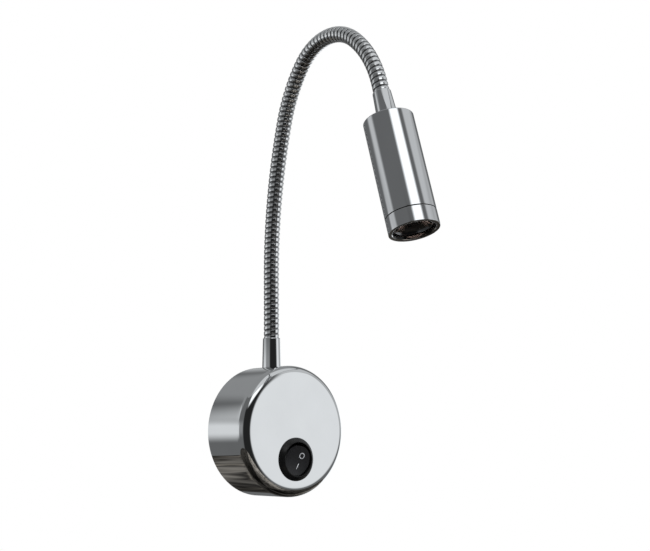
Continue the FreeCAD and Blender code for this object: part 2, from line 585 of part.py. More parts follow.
# ---------------------------------------------------------------- wires inside the base
# Push-on receptacles sit on the ends of the two blades.
receptacleEnd = "-(bladeReach + receptacleFloor)"
receptacles = []
for name, middle in (("common_receptacle", "0"), ("load_receptacle", "bladeSpacing")):
    place = switchPlace * Placement(Vector(0, worth(middle), worth(receptacleEnd)), Rotation())
    receptacle = makeBody(name, place)
    outline = makeSketch(receptacle, "outline")
    drawOutline(outline, rectangle("-receptacleWidth / 2", "receptacleWidth / 2",
                                   "-receptacleThickness / 2", "receptacleThickness / 2"))
    pad(receptacle, outline, "receptacleLength")
    bladeSlot = makeSketch(receptacle, "blade_slot", lift="receptacleLength")
    drawOutline(bladeSlot, rectangle("-" + slotHalf, slotHalf, "-bladeThickness / 2 - bladeFit",
                                     "bladeThickness / 2 + bladeFit"))
    pocket(receptacle, bladeSlot, "receptacleLength - receptacleFloor")
    receptacles.append(receptacle)
keep(group("wire_receptacles", receptacles))


def wireAlong(label, points):
    # A round wire of straight runs through the points, seen from the front, with a tangent
    # arc at each corner.
    spots = [onWall.multVec(point) for point in points]
    edges = []
    radii = []
    start = spots[0]
    for before, corner, after in zip(spots, spots[1:], spots[2:]):
        reach = worth("wireBendShare") * min((corner - before).Length, (after - corner).Length)
        inward, outward = (corner - before).normalize(), (after - corner).normalize()
        half = inward.getAngle(outward) / 2
        radius = reach / math.tan(half)
        first, last = corner - inward * reach, corner + outward * reach
        middle = corner + (outward - inward).normalize() * (radius / math.cos(half) - radius)
        edges.append(Part.LineSegment(start, first).toShape())
        edges.append(Part.Arc(first, middle, last).toShape())
        radii.append(round(radius, 1))
        start = last
    edges.append(Part.LineSegment(start, spots[-1]).toShape())
    route = Part.Wire(edges)
    section = Part.makeCircle(worth("wireRadius"), spots[0], spots[1] - spots[0])
    shape = route.makePipe(Part.Face(Part.Wire(section)))
    if abs(shape.Volume / (math.pi * worth("wireRadius") ** 2 * route.Length) - 1) > 0.002:
        raise RuntimeError("a wire in the base has the wrong volume")
    print("%s: length %.1f, bend radii %s" % (label, route.Length, radii))
    wire = doc.addObject("Part::Feature", label)
    wire.Shape = shape
    return wire


def switchSpot(middle):
    # The end of a blade's receptacle, seen from the front.
    return (onWall.inverse() * switchPlace).multVec(Vector(0, worth(middle), worth(receptacleEnd)))


# Live runs from the block to the middle blade, the switched wire from the other blade to
# the driver's board, and neutral from the block to the board.
boreLevel = worth("plateThickness + blockDepth * 0.35")
boreMiddle = worth("cupDiameter / 2 - blockInset + blockWidth / 2")
boreTop = -worth("blockDrop")
holeMiddle, holeLevel = worth("driverWidth / 4"), worth("stemOffset")
holeFoot, boardLevel = worth("driverRise"), worth("plateThickness + boardRise + boardThickness")
halfPair, halfPole = worth("wirePairSpacing / 2"), worth("poleSpacing / 2")
wireEnd = Vector(0, worth("driverWall * 3"), 0)
loopRise, loopWidth, loopLevel = worth("loopRise"), worth("loopWidth"), worth("loopLevel")
turnLevel = loopLevel + worth("wireRadius")


def intoDriver(side):
    # Through the tray's hole and down onto the board.
    inside = Vector(holeMiddle + side, holeFoot, holeLevel) + wireEnd
    return [inside, Vector(inside.x, inside.y, boardLevel)]


commonSpot, loadSpot = switchSpot("0"), switchSpot("bladeSpacing")
live = wireAlong("live_wire", [
    Vector(boreMiddle + halfPole, boreTop - worth("wireInBlock"), boreLevel),
    Vector(boreMiddle + halfPole, boreTop + loopRise, boreLevel),
    Vector(holeMiddle + 2 * halfPair, boreTop + loopRise * 1.15, loopLevel),
    Vector(0, boreTop + loopRise, loopLevel),
    Vector(commonSpot.x - loopWidth, commonSpot.y + loopWidth * 1.3, loopLevel),
    Vector(commonSpot.x, commonSpot.y, turnLevel), commonSpot])
switched = wireAlong("switched_wire", [
    loadSpot, Vector(loadSpot.x, loadSpot.y, turnLevel),
    Vector(holeMiddle - halfPair, holeFoot - loopWidth * 1.5, turnLevel),
    Vector(holeMiddle - halfPair, holeFoot - loopRise, holeLevel)] + intoDriver(-halfPair))
neutral = wireAlong("neutral_wire", [
    Vector(boreMiddle - halfPole, boreTop - worth("wireInBlock"), boreLevel),
    Vector(boreMiddle - halfPole, boreTop + loopRise * 0.6, boreLevel),
    Vector(holeMiddle + halfPair, boreTop + loopRise * 0.6, holeLevel)] + intoDriver(halfPair))
keep(group("base_wires", [live, switched, neutral]))

# ---------------------------------------------------------------- arm centre line
# The arm bends in the plane x = 0. Its centre line is a straight stem and four tangent
# arcs, and is measured from the base ferrule's mouth.
armRuns = [
    (worth("stemRun"), 0.0),
    (worth("sweepRadius"), worth("sweepAngle")),
    (worth("shoulderRadius"), worth("shoulderAngle")),
    (worth("crownRadius"), worth("crownAngle")),
    (worth("neckRadius"), worth("neckAngle")),
    (worth("neckRun"), 0.0),
]


def runLength(run):
    size, angle = run
    return size * math.radians(angle) if angle else size


armLength = sum(runLength(run) for run in armRuns)
armTurn = sum(angle for size, angle in armRuns)
armFoot = Vector(0, -worth("stemOffset"), worth(seatHeight + " + ferruleLength"))


def lean(angle):
    return Rotation(Vector(1, 0, 0), angle)


def advance(place, size, angle):
    # Moves a placement along one run: its Z is the centre line's direction.
    if not angle:
        return place * Placement(Vector(0, 0, size), Rotation())
    bend = math.radians(angle)
    step = Vector(0, -size * (1 - math.cos(bend)), size * math.sin(bend))
    return place * Placement(step, lean(angle))


def pieces(start, end):
    # The runs between two distances along the arm; past its ends the line stays straight.
    found = []
    if start < 0:
        below = Placement(armFoot + Vector(0, 0, start), Rotation())
        found.append((start, min(end, 0) - start, 0.0, below))
    place = Placement(armFoot, Rotation())
    begin = 0.0
    for size, angle in armRuns + [(1000.0, 0.0)]:
        whole = runLength((size, angle))
        low, high = max(start, begin), min(end, begin + whole)
        if high - low > 1e-6:
            rate = angle / whole
            here = place
            if low > begin:
                here = advance(place, size if angle else low - begin, rate * (low - begin))
            found.append((low, size if angle else high - low, rate * (high - low), here))
        place = advance(place, size, angle)
        begin += whole
    return found


def armPlace(distance):
    if distance <= 0:
        return Placement(armFoot + Vector(0, 0, distance), Rotation())
    low, size, angle, place = pieces(0, distance)[-1]
    return advance(place, size, angle)


def armWire(start, end):
    edges = []
    for low, size, angle, place in pieces(start, end):
        last = advance(place, size, angle)
        if angle:
            middle = advance(place, size, angle / 2)
            edges.append(Part.Arc(place.Base, middle.Base, last.Base).toShape())
        else:
            edges.append(Part.LineSegment(place.Base, last.Base).toShape())
    return Part.Wire(edges)


def distanceAtTurn(angle):
    # Where along the arm its direction has turned by this angle.
    travelled = 0.0
    for size, turned in armRuns:
        if turned and angle <= turned:
            return travelled + size * math.radians(angle)
        travelled += runLength((size, turned))
        angle -= turned
    return travelled


def circleAt(place, radius):
    edge = Part.makeCircle(radius)
    edge.Placement = place
    return Part.Wire(edge)


def tubeAlong(start, end, outer, inner):
    # A tube, or a rod where inner is 0, along the arm's centre line.
    place = armPlace(start)
    profile = Part.Face(circleAt(place, outer))
    if inner:
        profile = profile.cut(Part.Face(circleAt(place, inner))).Faces[0]
    shape = armWire(start, end).makePipe(profile)
    section = math.pi * (outer ** 2 - inner ** 2)
    if abs(shape.Volume / (section * (end - start)) - 1) > 0.002:
        raise RuntimeError("a tube along the arm has the wrong volume")
    return shape


def armFeature(label, shape):
    feature = doc.addObject("Part::Feature", label)
    feature.Label = label
    feature.Shape = shape
    return keep(feature)


def loftedTube(start, end, outer, inner):
    # A tube lofted straight from ring to ring. Round a bend the rings stand close enough
    # for each chord to keep to the centre line within coilSag.
    stops = [start]
    for low, size, angle, place in pieces(start, end):
        length = runLength((size, angle))
        chord = math.sqrt(8 * size * worth("coilSag"))
        parts = math.ceil(length / chord) if angle else 1
        stops += [low + length * (n + 1) / parts for n in range(parts)]
    skins = [Part.makeLoft([circleAt(armPlace(stop), radius) for stop in stops], True, True)
             for radius in (outer, inner)]
    return skins[0].cut(skins[1])


# ---------------------------------------------------------------- base ferrule and its nut
ferrulePlace = Placement(Vector(0, -worth("stemOffset"), worth(seatHeight)), Rotation())
ferrule = keep(makeBody("base_ferrule", ferrulePlace))
hoseHole = "hoseRadius + hoseFit"
turn(ferrule, "profile", [
    ("leadBore", "-studLength"), ("studRadius", "-studLength"), ("studRadius", "0"),
    ("ferruleFoot", "0"), ("ferruleMouth", "ferruleLength - ferruleChamfer"),
    ("ferruleMouth - ferruleChamfer", "ferruleLength"), (hoseHole, "ferruleLength"),
    (hoseHole, "ferruleLength - hoseSeat"), ("leadBore", "ferruleLength - hoseSeat")])

# A saddle washer fills the cup's inner curve, so that the nut bears on a flat.
washerFloor = "cupDiameter / 2 - cupWall - washerThickness"
washerDisc = doc.addObject("Part::Cylinder", "washer_disc")
washerDisc.setExpression("Radius", bound("washerRadius"))
washerDisc.setExpression("Height", bound("washerThickness * 2"))
washerDisc.Placement = Placement(Vector(0, -worth("stemOffset"), worth(washerFloor)), Rotation())
cupInside = doc.addObject("Part::Cylinder", "washer_limit")
cupInside.setExpression("Radius", bound("cupDiameter / 2 - cupWall - washerFit"))
cupInside.setExpression("Height", bound("cupDepth"))
cupInside.Placement = onWall
washerBlank = doc.addObject("Part::Common", "washer_blank")
washerBlank.Base = washerDisc
washerBlank.Tool = cupInside
washerHole = doc.addObject("Part::Cylinder", "washer_hole")
washerHole.setExpression("Radius", bound("studHole"))
washerHole.setExpression("Height", bound("washerThickness * 3"))
washerHole.Placement = Placement(
    Vector(0, -worth("stemOffset"), worth(washerFloor + " - cutMargin")), Rotation())
washer = keep(doc.addObject("Part::Cut", "saddle_washer"))
washer.Base = washerBlank
washer.Tool = washerHole


def hexNut(label, place):
    nut = keep(makeBody(label, place))
    outline = makeSketch(nut, "outline")
    drawOutline(outline, hexagon("nutAcross"))
    drawCircle(outline, "0", "0", "studRadius + threadClearance")
    pad(nut, outline, "nutThickness")
    return nut


nutFloor = worth(washerFloor + " - nutThickness")
hexNut("base_nut", Placement(Vector(0, -worth("stemOffset"), nutFloor), Rotation()))

# ---------------------------------------------------------------- gooseneck
# Outside it is a ribbed hose, one rib for each turn of its round wire. Its plain ends
# sit in the two ferrules.
hoseSeat = worth("hoseSeat")
ribCount = round(armLength / worth("ribPitch"))
ribPitch = armLength / ribCount
crest, valley, endRun = worth("hoseRadius"), worth("hoseValley"), worth("hoseEndRun")
ridge, flank = worth("ridgeShare") * ribPitch, worth("flankShare") * ribPitch
rings = [circleAt(armPlace(-hoseSeat), crest), circleAt(armPlace(-endRun), crest)]
for rib in range(ribCount):
    start = rib * ribPitch
    rings.append(circleAt(armPlace(start), valley))
    rings.append(circleAt(armPlace(start + (ribPitch - ridge) / 2), crest))
    rings.append(circleAt(armPlace(start + (ribPitch + ridge) / 2), crest))
rings.append(circleAt(armPlace(armLength), valley))
rings.append(circleAt(armPlace(armLength + endRun), crest))
rings.append(circleAt(armPlace(armLength + hoseSeat), crest))
hoseBody = Part.makeLoft(rings, True, True)
cutRun = hoseSeat + worth("cutMargin")
hoseRoom = tubeAlong(-cutRun, armLength + cutRun, worth("hoseBore"), 0)
armFeature("gooseneck_hose", hoseBody.cut(hoseRoom))
print("gooseneck: free length %.1f, turned %.1f degrees, %d ribs" % (armLength, armTurn, ribCount))

# Inside it is the coil that bends and holds its shape. The coil is cut where the arm's
# hinges are, with a short gap at each for the bend.
lowerStep = worth("lowerAngle / lowerHinges")
upperStep = (armTurn - worth("lowerAngle")) / worth("upperHinges")
turns = [lowerStep * (n + 0.5) for n in range(int(worth("lowerHinges")))]
turns += [worth("lowerAngle") + upperStep * (n + 0.5) for n in range(int(worth("upperHinges")))]
hinges = [worth("swayPlace")] + [distanceAtTurn(angle) for angle in turns]
halfGap = worth("spineGap") / 2
starts = [-hoseSeat] + [place + halfGap for place in hinges]
ends = [place - halfGap for place in hinges] + [armLength + hoseSeat]
for number, (start, end) in enumerate(zip(starts, ends)):
    coil = loftedTube(start, end, worth("spineRadius"), worth("spineBore"))
    armFeature("arm_coil_%02d" % number, coil)
for number, place in enumerate(hinges, start=1):
    spot = armPlace(place).Base
    print("hinge %02d at %.3f: y %.4f z %.4f" % (number, place, spot.y, spot.z))

# The two-core lead runs from the driver through the arm to the back of the light board.
headPlace = armPlace(armLength + worth("headFerruleLength"))
starLevel = "(bodyLength - slugSetback)"
leadStart = worth("driverRise + driverTall") - armFoot.z
leadEnd = armLength + worth("headFerruleLength + " + starLevel)
armFeature("led_lead", tubeAlong(leadStart, leadEnd, worth("leadRadius"), 0))
leadRadii = [size for size, angle in armRuns if angle]
print("led lead: length %.1f, bend radii %s" % (leadEnd - leadStart, leadRadii))

# ---------------------------------------------------------------- head
# Head pieces are turned about the head's axis: z = 0 is its top, z grows to the lens.
headFerrule = keep(makeBody("head_ferrule", armPlace(armLength)))
turn(headFerrule, "profile", [
    (hoseHole, "0"), ("ferruleMouth - ferruleChamfer", "0"), ("ferruleMouth", "ferruleChamfer"),
    ("headFerruleFoot", "headFerruleLength"), ("studRadius", "headFerruleLength"),
    ("studRadius", "headFerruleLength + headStudLength"),
    ("leadBore", "headFerruleLength + headStudLength"), ("leadBore", "hoseSeat"),
    (hoseHole, "hoseSeat")])
hexNut("head_nut", headPlace * Placement(Vector(0, 0, worth("headTop")), Rotation()))

headBody = keep(makeBody("head_body", headPlace))
headInner = "(headDiameter / 2 - headWall)"
turn(headBody, "profile", [
    ("studHole", "0"), ("headDiameter / 2 - headEdge", "0"), ("headDiameter / 2", "headEdge"),
    ("headDiameter / 2", "bodyLength"), (headInner, "bodyLength"), (headInner, "headTop"),
    ("studHole", "headTop")])

frontRing = keep(makeBody("front_ring", headPlace))
sleeve = headInner + " - slugFit"
ringFront = "(bodyLength + ringLength)"
flangeLevel = "(%s - lensRecess - lensRimHeight - holderFloor + lensSink)" % ringFront
turn(frontRing, "profile", [
    (sleeve + " - sleeveWall", "bodyLength - ringSleeve"), (sleeve, "bodyLength - ringSleeve"),
    (sleeve, "bodyLength"), ("headDiameter / 2 - seamDepth", "bodyLength"),
    ("headDiameter / 2 - seamDepth", "bodyLength + seamWidth"),
    ("headDiameter / 2", "bodyLength + seamWidth"), ("headDiameter / 2", ringFront),
    ("ringMouth + ringBevel", ringFront), ("ringMouth", ringFront + " - ringBevel"),
    ("ringMouth", flangeLevel), (sleeve + " - sleeveWall", flangeLevel)])

slug = keep(makeBody("heat_slug", headPlace))
slugRound = makeSketch(slug, "round", lift="bodyLength - slugSetback - slugLength")
drawCircle(slugRound, "0", "0", headInner + " - slugFit")
drawCircle(slugRound, "0", "0", "wireHole")
for side in ("starScrewSpread / 2", "-starScrewSpread / 2"):
    drawCircle(slugRound, side, "0", "starScrewRadius + threadClearance")
pad(slug, slugRound, "slugLength")

star = keep(makeBody("light_board", headPlace))
starRound = makeSketch(star, "round", lift=starLevel)
drawCircle(starRound, "0", "0", "starRadius")
for side in ("starScrewSpread / 2", "-starScrewSpread / 2"):
    drawCircle(starRound, side, "0", "starScrewRadius + starClearance")
pad(star, starRound, "starThickness")

starFront = "(%s + starThickness)" % starLevel
starScrews = []
for number, side in enumerate(("starScrewSpread / 2", "-starScrewSpread / 2"), start=1):
    place = headPlace * Placement(Vector(worth(side), 0, worth(starFront)), Rotation())
    starScrews.append(plainScrew("light_board_screw_%d" % number, place, "starScrewRadius",
                                 "starScrewRadius * 1.8", "starScrewRadius", "starThickness * 4"))
keep(group("light_board_screws", starScrews))

chip = keep(makeBody("light_chip", headPlace))
chipBase = makeSketch(chip, "base", lift=starFront)
drawOutline(chipBase, rectangle("-chipSide / 2", "chipSide / 2", "-chipSide / 2", "chipSide / 2"))
pad(chip, chipBase, "chipHeight")
chipFront = "(%s + chipHeight)" % starFront
turn(chip, "dome", [
    ("0", chipFront + " - domeSink"), ("domeRadius", chipFront + " - domeSink"),
    ("domeRadius", chipFront + " + domeRadius * 0.3"),
    ("domeRadius * 0.6", chipFront + " + domeRadius * 0.85"), ("0", chipFront + " + domeRadius")])

# Black lens holder and the clear collimating lens that sits in it.
holder = keep(makeBody("lens_holder", headPlace))
holderFoot = "(%s + holderGap)" % starFront
holderOuter = "(%s - sleeveWall - holderFit)" % sleeve
holderFlange = "(%s + holderFloor)" % flangeLevel
turn(holder, "profile", [
    ("chipWindow", holderFoot), (holderOuter, holderFoot), (holderOuter, flangeLevel),
    ("ringMouth - mouthFit", flangeLevel), ("ringMouth - mouthFit", holderFlange),
    ("lensFrontRadius + lensFit", holderFlange),
    ("lensBackRadius + lensFit", holderFoot + " + holderFloor"),
    ("chipWindow", holderFoot + " + holderFloor")])
screwRoom = makeSketch(holder, "screw_room", lift=holderFoot)
for side in ("starScrewSpread / 2", "-starScrewSpread / 2"):
    drawCircle(screwRoom, side, "0", "starScrewRadius * 1.8 + screwClearance")
pocket(holder, screwRoom, "starScrewRadius", reverse=True)

lens = keep(makeBody("lens", headPlace))
lensBack = "(%s + holderFloor + lensGap)" % holderFoot
turn(lens, "profile", [
    ("domeRadius + wellMargin", lensBack), ("lensBackRadius", lensBack),
    ("lensFrontRadius", holderFlange), ("ringMouth - lensRimInset", holderFlange),
    ("ringMouth - lensRimInset", holderFlange + " + lensRimHeight * 0.6"),
    ("0", holderFlange + " + lensRimHeight"), ("0", lensBack + " + lensWell"),
    ("domeRadius + wellMargin", lensBack + " + lensWell * 0.7")])

# ---------------------------------------------------------------- test and write
doc.recompute()
failed = [feature.Label for feature in doc.Objects if {"Invalid", "Error"} & set(feature.State)]
for feature in subparts:
    shape = feature.Shape
    if shape.isNull() or not shape.isValid() or not shape.Solids:
        failed.append(feature.Label)
if failed:
    raise RuntimeError("these pieces failed: " + ", ".join(sorted(set(failed))))
for feature in subparts:
    feature.Shape.exportStep("parts/%s.step" % feature.Label)
print("%d nodes, %d solids" % (len(subparts), sum(len(feature.Shape.Solids) for feature in subparts)))
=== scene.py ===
import math
import bpy
from mathutils import Euler, Matrix, Vector


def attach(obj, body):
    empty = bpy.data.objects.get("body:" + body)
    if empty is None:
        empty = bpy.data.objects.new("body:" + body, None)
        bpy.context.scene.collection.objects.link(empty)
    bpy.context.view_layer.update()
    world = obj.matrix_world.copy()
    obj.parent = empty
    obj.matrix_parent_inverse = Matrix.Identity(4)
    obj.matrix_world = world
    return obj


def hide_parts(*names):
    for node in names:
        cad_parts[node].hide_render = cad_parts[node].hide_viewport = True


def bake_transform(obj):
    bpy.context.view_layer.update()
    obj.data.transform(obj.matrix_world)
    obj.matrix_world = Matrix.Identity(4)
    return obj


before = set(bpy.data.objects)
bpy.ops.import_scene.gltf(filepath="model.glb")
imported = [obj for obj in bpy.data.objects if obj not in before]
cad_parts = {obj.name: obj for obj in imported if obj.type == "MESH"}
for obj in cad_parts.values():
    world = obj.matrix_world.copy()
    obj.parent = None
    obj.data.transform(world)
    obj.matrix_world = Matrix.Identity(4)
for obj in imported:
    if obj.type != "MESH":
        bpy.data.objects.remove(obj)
bpy.ops.object.select_all(action="DESELECT")
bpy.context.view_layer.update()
scene = bpy.context.scene
print("frame loaded")

# Everything below is in metres: the wall is y = 0, the lamp stands out along -Y, Z is up.
mm = 0.001


# ---- camera and studio
view = {
    "place": (-405.68, -537.62, -1.683),
    "turn": (97.4993, 0.4646, -40.1186),
    "lens": 66.63,
}
cameraData = bpy.data.cameras.new("photoView")
cameraData.lens = view["lens"]
cameraData.sensor_width = 36
camera = bpy.data.objects.new("photoView", cameraData)
camera.location = Vector(view["place"]) * mm
camera.rotation_euler = Euler([math.radians(a) for a in view["turn"]])
scene.collection.objects.link(camera)
scene.camera = camera
scene.view_settings.view_transform = "Standard"


def newMaterial(name):
    material = bpy.data.materials.new(name)
    material.use_nodes = True
    tree = material.node_tree
    return material, tree, tree.nodes["Principled BSDF"]


def whiteForEyes(tree, shader, strength):
    # Camera rays, mirrors and glass see plain white; the light on the object stays as it is.
    paths = tree.nodes.new("ShaderNodeLightPath")
    direct = tree.nodes.new("ShaderNodeMath")
    direct.operation = "MAXIMUM"
    seen = tree.nodes.new("ShaderNodeMath")
    seen.operation = "MAXIMUM"
    tree.links.new(paths.outputs["Is Camera Ray"], direct.inputs[0])
    tree.links.new(paths.outputs["Is Transmission Ray"], direct.inputs[1])
    tree.links.new(direct.outputs[0], seen.inputs[0])
    tree.links.new(paths.outputs["Is Glossy Ray"], seen.inputs[1])
    kind = "ShaderNodeBackground" if shader.type == "BACKGROUND" else "ShaderNodeEmission"
    white = tree.nodes.new(kind)
    white.inputs["Color"].default_value = (1, 1, 1, 1)
    white.inputs["Strength"].default_value = strength
    mix = tree.nodes.new("ShaderNodeMixShader")
    tree.links.new(seen.outputs[0], mix.inputs[0])
    tree.links.new(shader.outputs[0], mix.inputs[1])
    tree.links.new(white.outputs[0], mix.inputs[2])
    return mix


studio = {
    "worldColor": (0.86, 0.88, 0.92), "worldLight": 0.62,
    "floorLevel": -1.42, "floorColor": (0.9, 0.9, 0.91),
}
world = bpy.data.worlds.new("studio")
scene.world = world
world.use_nodes = True
worldTree = world.node_tree
ambient = worldTree.nodes["Background"]
ambient.inputs["Color"].default_value = (*studio["worldColor"], 1)
ambient.inputs["Strength"].default_value = studio["worldLight"]
worldMix = whiteForEyes(worldTree, ambient, 1.0)
worldTree.links.new(worldMix.outputs[0], worldTree.nodes["World Output"].inputs["Surface"])

bpy.ops.mesh.primitive_plane_add(size=12, location=(0, 0, studio["floorLevel"]))
floor = bpy.context.object
floor.name = "studioFloor"
floorMaterial, floorTree, floorShader = newMaterial("floorPaper")
floorShader.inputs["Base Color"].default_value = (*studio["floorColor"], 1)
floorShader.inputs["Roughness"].default_value = 0.9
floorMix = whiteForEyes(floorTree, floorShader, 1.0)
floorTree.links.new(floorMix.outputs[0], floorTree.nodes["Material Output"].inputs["Surface"])
floor.data.materials.append(floorMaterial)


def between(tree, low, high, value):
    # 0 below low, 1 above high and smooth between them.
    ramp = tree.nodes.new("ShaderNodeMapRange")
    ramp.interpolation_type = "SMOOTHSTEP"
    ramp.inputs["From Min"].default_value = low
    ramp.inputs["From Max"].default_value = high
    tree.links.new(value, ramp.inputs["Value"])
    return ramp.outputs["Result"]


def sumOf(tree, kind, first, second):
    # One Math node; each input is an output of another node or a plain number.
    node = tree.nodes.new("ShaderNodeMath")
    node.operation = kind
    for socket, value in zip(node.inputs, (first, second)):
        if isinstance(value, (int, float)):
            socket.default_value = value
        else:
            tree.links.new(value, socket)
    return node.outputs[0]


def onPanel(tree, turn, height, panel, soft):
    # 1 on a panel and 0 off it, fading over its edges.
    left, right, low, high = panel[:4]
    across = [between(tree, math.radians(a - soft[0]), math.radians(a + soft[0]), turn)
              for a in (left, right)]
    upward = [between(tree, z - soft[1], z + soft[1], height) for z in (low, high)]
    return sumOf(tree, "MULTIPLY", sumOf(tree, "SUBTRACT", *across), sumOf(tree, "SUBTRACT", *upward))


def studioWall(name, cloth):
    # A glowing cloth: a plain level with panels laid on it, each (left, right, foot, top, level).
    # Left and right are degrees from the front, + to the right. Wander makes the borders uneven,
    # patches are (noise value, level, warmth), hub is (inner radius, outer radius, level), a painted
    # shadow that dims the middle.
    material, tree = newMaterial(name)[:2]
    place = tree.nodes.new("ShaderNodeTexCoord")
    split = tree.nodes.new("ShaderNodeSeparateXYZ")
    tree.links.new(place.outputs["Object"], split.inputs[0])
    forward = sumOf(tree, "MULTIPLY", split.outputs["Y"], -1)
    turn = sumOf(tree, "ARCTAN2", split.outputs["X"], forward)
    glow = tree.nodes.new("ShaderNodeEmission")
    glow.inputs["Color"].default_value = (*cloth["tint"], 1)
    if "patches" in cloth:
        cloud = tree.nodes.new("ShaderNodeTexNoise")
        cloud.inputs["Scale"].default_value = cloth["cloudScale"]
        cloud.inputs["Detail"].default_value = cloth["cloudDetail"]
        tree.links.new(place.outputs["Object"], cloud.inputs["Vector"])
        shift = sumOf(tree, "SUBTRACT", cloud.outputs["Fac"], 0.5)
        turn = sumOf(tree, "ADD", turn, sumOf(tree, "MULTIPLY", shift, cloth["wander"]))
        uneven = tree.nodes.new("ShaderNodeValToRGB")
        elements = uneven.color_ramp.elements
        for n, (value, level, warm) in enumerate(cloth["patches"]):
            element = elements[n] if n < 2 else elements.new(value)
            element.position = value
            element.color = (level, level * (1 - 0.4 * warm), level * (1 - warm), 1)
        tree.links.new(cloud.outputs["Fac"], uneven.inputs["Fac"])
        tree.links.new(uneven.outputs["Color"], glow.inputs["Color"])
    level = cloth["plain"]
    for panel in cloth["panels"]:
        mask = onPanel(tree, turn, split.outputs["Z"], panel, cloth["soft"])
        change = sumOf(tree, "MULTIPLY", mask, sumOf(tree, "SUBTRACT", panel[4], level))
        level = sumOf(tree, "ADD", change, level)
    # The hub dims the glow towards the middle: a painted shadow under the lamp.
    if "shadowHub" in cloth:
        inner, outer, dark = cloth["shadowHub"]
        away = tree.nodes.new("ShaderNodeVectorMath")
        away.operation = "LENGTH"
        tree.links.new(place.outputs["Object"], away.inputs[0])
        fade = between(tree, inner, outer, away.outputs["Value"])
        share = sumOf(tree, "ADD", sumOf(tree, "MULTIPLY", fade, 1 - dark), dark)
        level = sumOf(tree, "MULTIPLY", level, share)
    tree.links.new(level, glow.inputs["Strength"])
    tree.links.new(glow.outputs[0], tree.nodes["Material Output"].inputs["Surface"])
    return material


def onlyInMirrors(obj, material):
    obj.data.materials.append(material)
    obj.visible_camera = False
    obj.visible_diffuse = False
    obj.visible_transmission = False
    obj.visible_shadow = False


# The light tent that the chrome mirrors: grey cloth, black cloth behind the camera, softboxes
# above it, at both sides and behind, and grey screens. It lights nothing by itself.
tent = {
    "centre": (0, -0.06, 0.06), "radius": 3.0, "foot": -1.36, "top": 3.4, "sides": 96,
    "tint": (0.955, 0.985, 1.0), "plain": 0.15, "soft": (7, 0.3),
    "panels": [
        (-60, 22, -2, 1.7, 0.02),      # black cloth behind the camera
        (-40, 5, 1.7, 3.2, 1.4),       # softbox over the camera
        (30, 65, -0.5, 1.7, 0.9),      # softbox at the right
        (65, 95, -0.2, 1.7, 0.5),      # screen beside it
        (30, 95, 1.7, 3.2, 0.6),       # screen above both
        (100, 135, -2, 0.5, 1.2),      # softbox behind, right
        (-155, -110, -0.4, 0.5, 0.8),  # softbox behind, left
        (-150, -125, 0.5, 1.7, 0.6),   # its upper half
        (-110, -65, -0.3, 0.6, 0.3),   # screen at the left
        (125, 150, 0.5, 1.7, 0.5),     # screens behind
        (-190, -115, 1.7, 4, 0.3),
        (125, 190, 1.7, 4, 0.3)],
}
bpy.ops.mesh.primitive_cylinder_add(vertices=tent["sides"], radius=tent["radius"],
                                    depth=tent["top"] - tent["foot"], end_fill_type="NOTHING",
                                    location=(0, 0, (tent["foot"] + tent["top"]) / 2))
bpy.ops.object.transform_apply(location=True)
tentWall = bpy.context.object
tentWall.name = "lightTent"
tentWall.location = tent["centre"]
onlyInMirrors(tentWall, studioWall("tentCloth", tent))

roof = {"tint": tent["tint"], "plain": 0.3, "soft": (15, 0.2), "panels": [(-50, 90, -1, 1, 0.7)]}
bpy.ops.mesh.primitive_circle_add(vertices=tent["sides"], radius=tent["radius"] + 0.02,
                                  fill_type="NGON")
tentRoof = bpy.context.object
tentRoof.name = "tentRoof"
tentRoof.location = Vector(tent["centre"]) + Vector((0, 0, tent["top"]))
onlyInMirrors(tentRoof, studioWall("roofCloth", roof))

# The table under the lamp, which the lower half of the chrome mirrors; its glow is dimmed beneath the
# lamp as painted shadow.
table = {
    "level": -1.3, "radius": 3.02, "tint": (1.0, 0.98, 0.95), "plain": 0.06, "soft": (8, 0.2),
    "wander": 0.7, "cloudScale": 1.15, "cloudDetail": 3, "shadowHub": (0.5, 2.2, 0.15),
    "patches": [(0.35, 0.4, 0.2), (0.42, 1.2, 0.15), (0.48, 0.15, 0.1), (0.52, 1.2, 0.2),
                (0.57, 0.15, 0.2), (0.62, 1.0, 0.15), (0.7, 0.4, 0.3)],
    "panels": [(-40, 35, -1, 1, 0.4), (92, 110, -1, 1, 0.4), (-190, -150, -1, 1, 0.2),
               (165, 190, -1, 1, 0.15)],
}
bpy.ops.mesh.primitive_circle_add(vertices=tent["sides"], radius=table["radius"], fill_type="NGON")
tableTop = bpy.context.object
tableTop.name = "tableTop"
tableTop.location = (tent["centre"][0], tent["centre"][1], table["level"])
onlyInMirrors(tableTop, studioWall("tableCloth", table))


def lamp(name, place, aim, size, energy, color=(1, 1, 1)):
    bpy.ops.object.light_add(type="AREA", location=place)
    obj = bpy.context.object
    obj.name = name
    obj.rotation_euler = (Vector(aim) - Vector(place)).to_track_quat("-Z", "Y").to_euler()
    obj.data.shape = "RECTANGLE"
    obj.data.size, obj.data.size_y = size
    obj.data.energy = energy
    obj.data.color = color
    obj.visible_glossy = False


middle = Vector((0, -0.06, 0.09))
lamp("keyLight", (-0.9, -0.4, 0.9), middle, (0.6, 0.6), 9)
lamp("fillLight", (0.9, -0.9, 0.5), middle, (0.7, 0.9), 9)
lamp("topLight", (0.1, -0.3, 1.2), middle, (0.9, 0.5), 7)
print("studio ready")


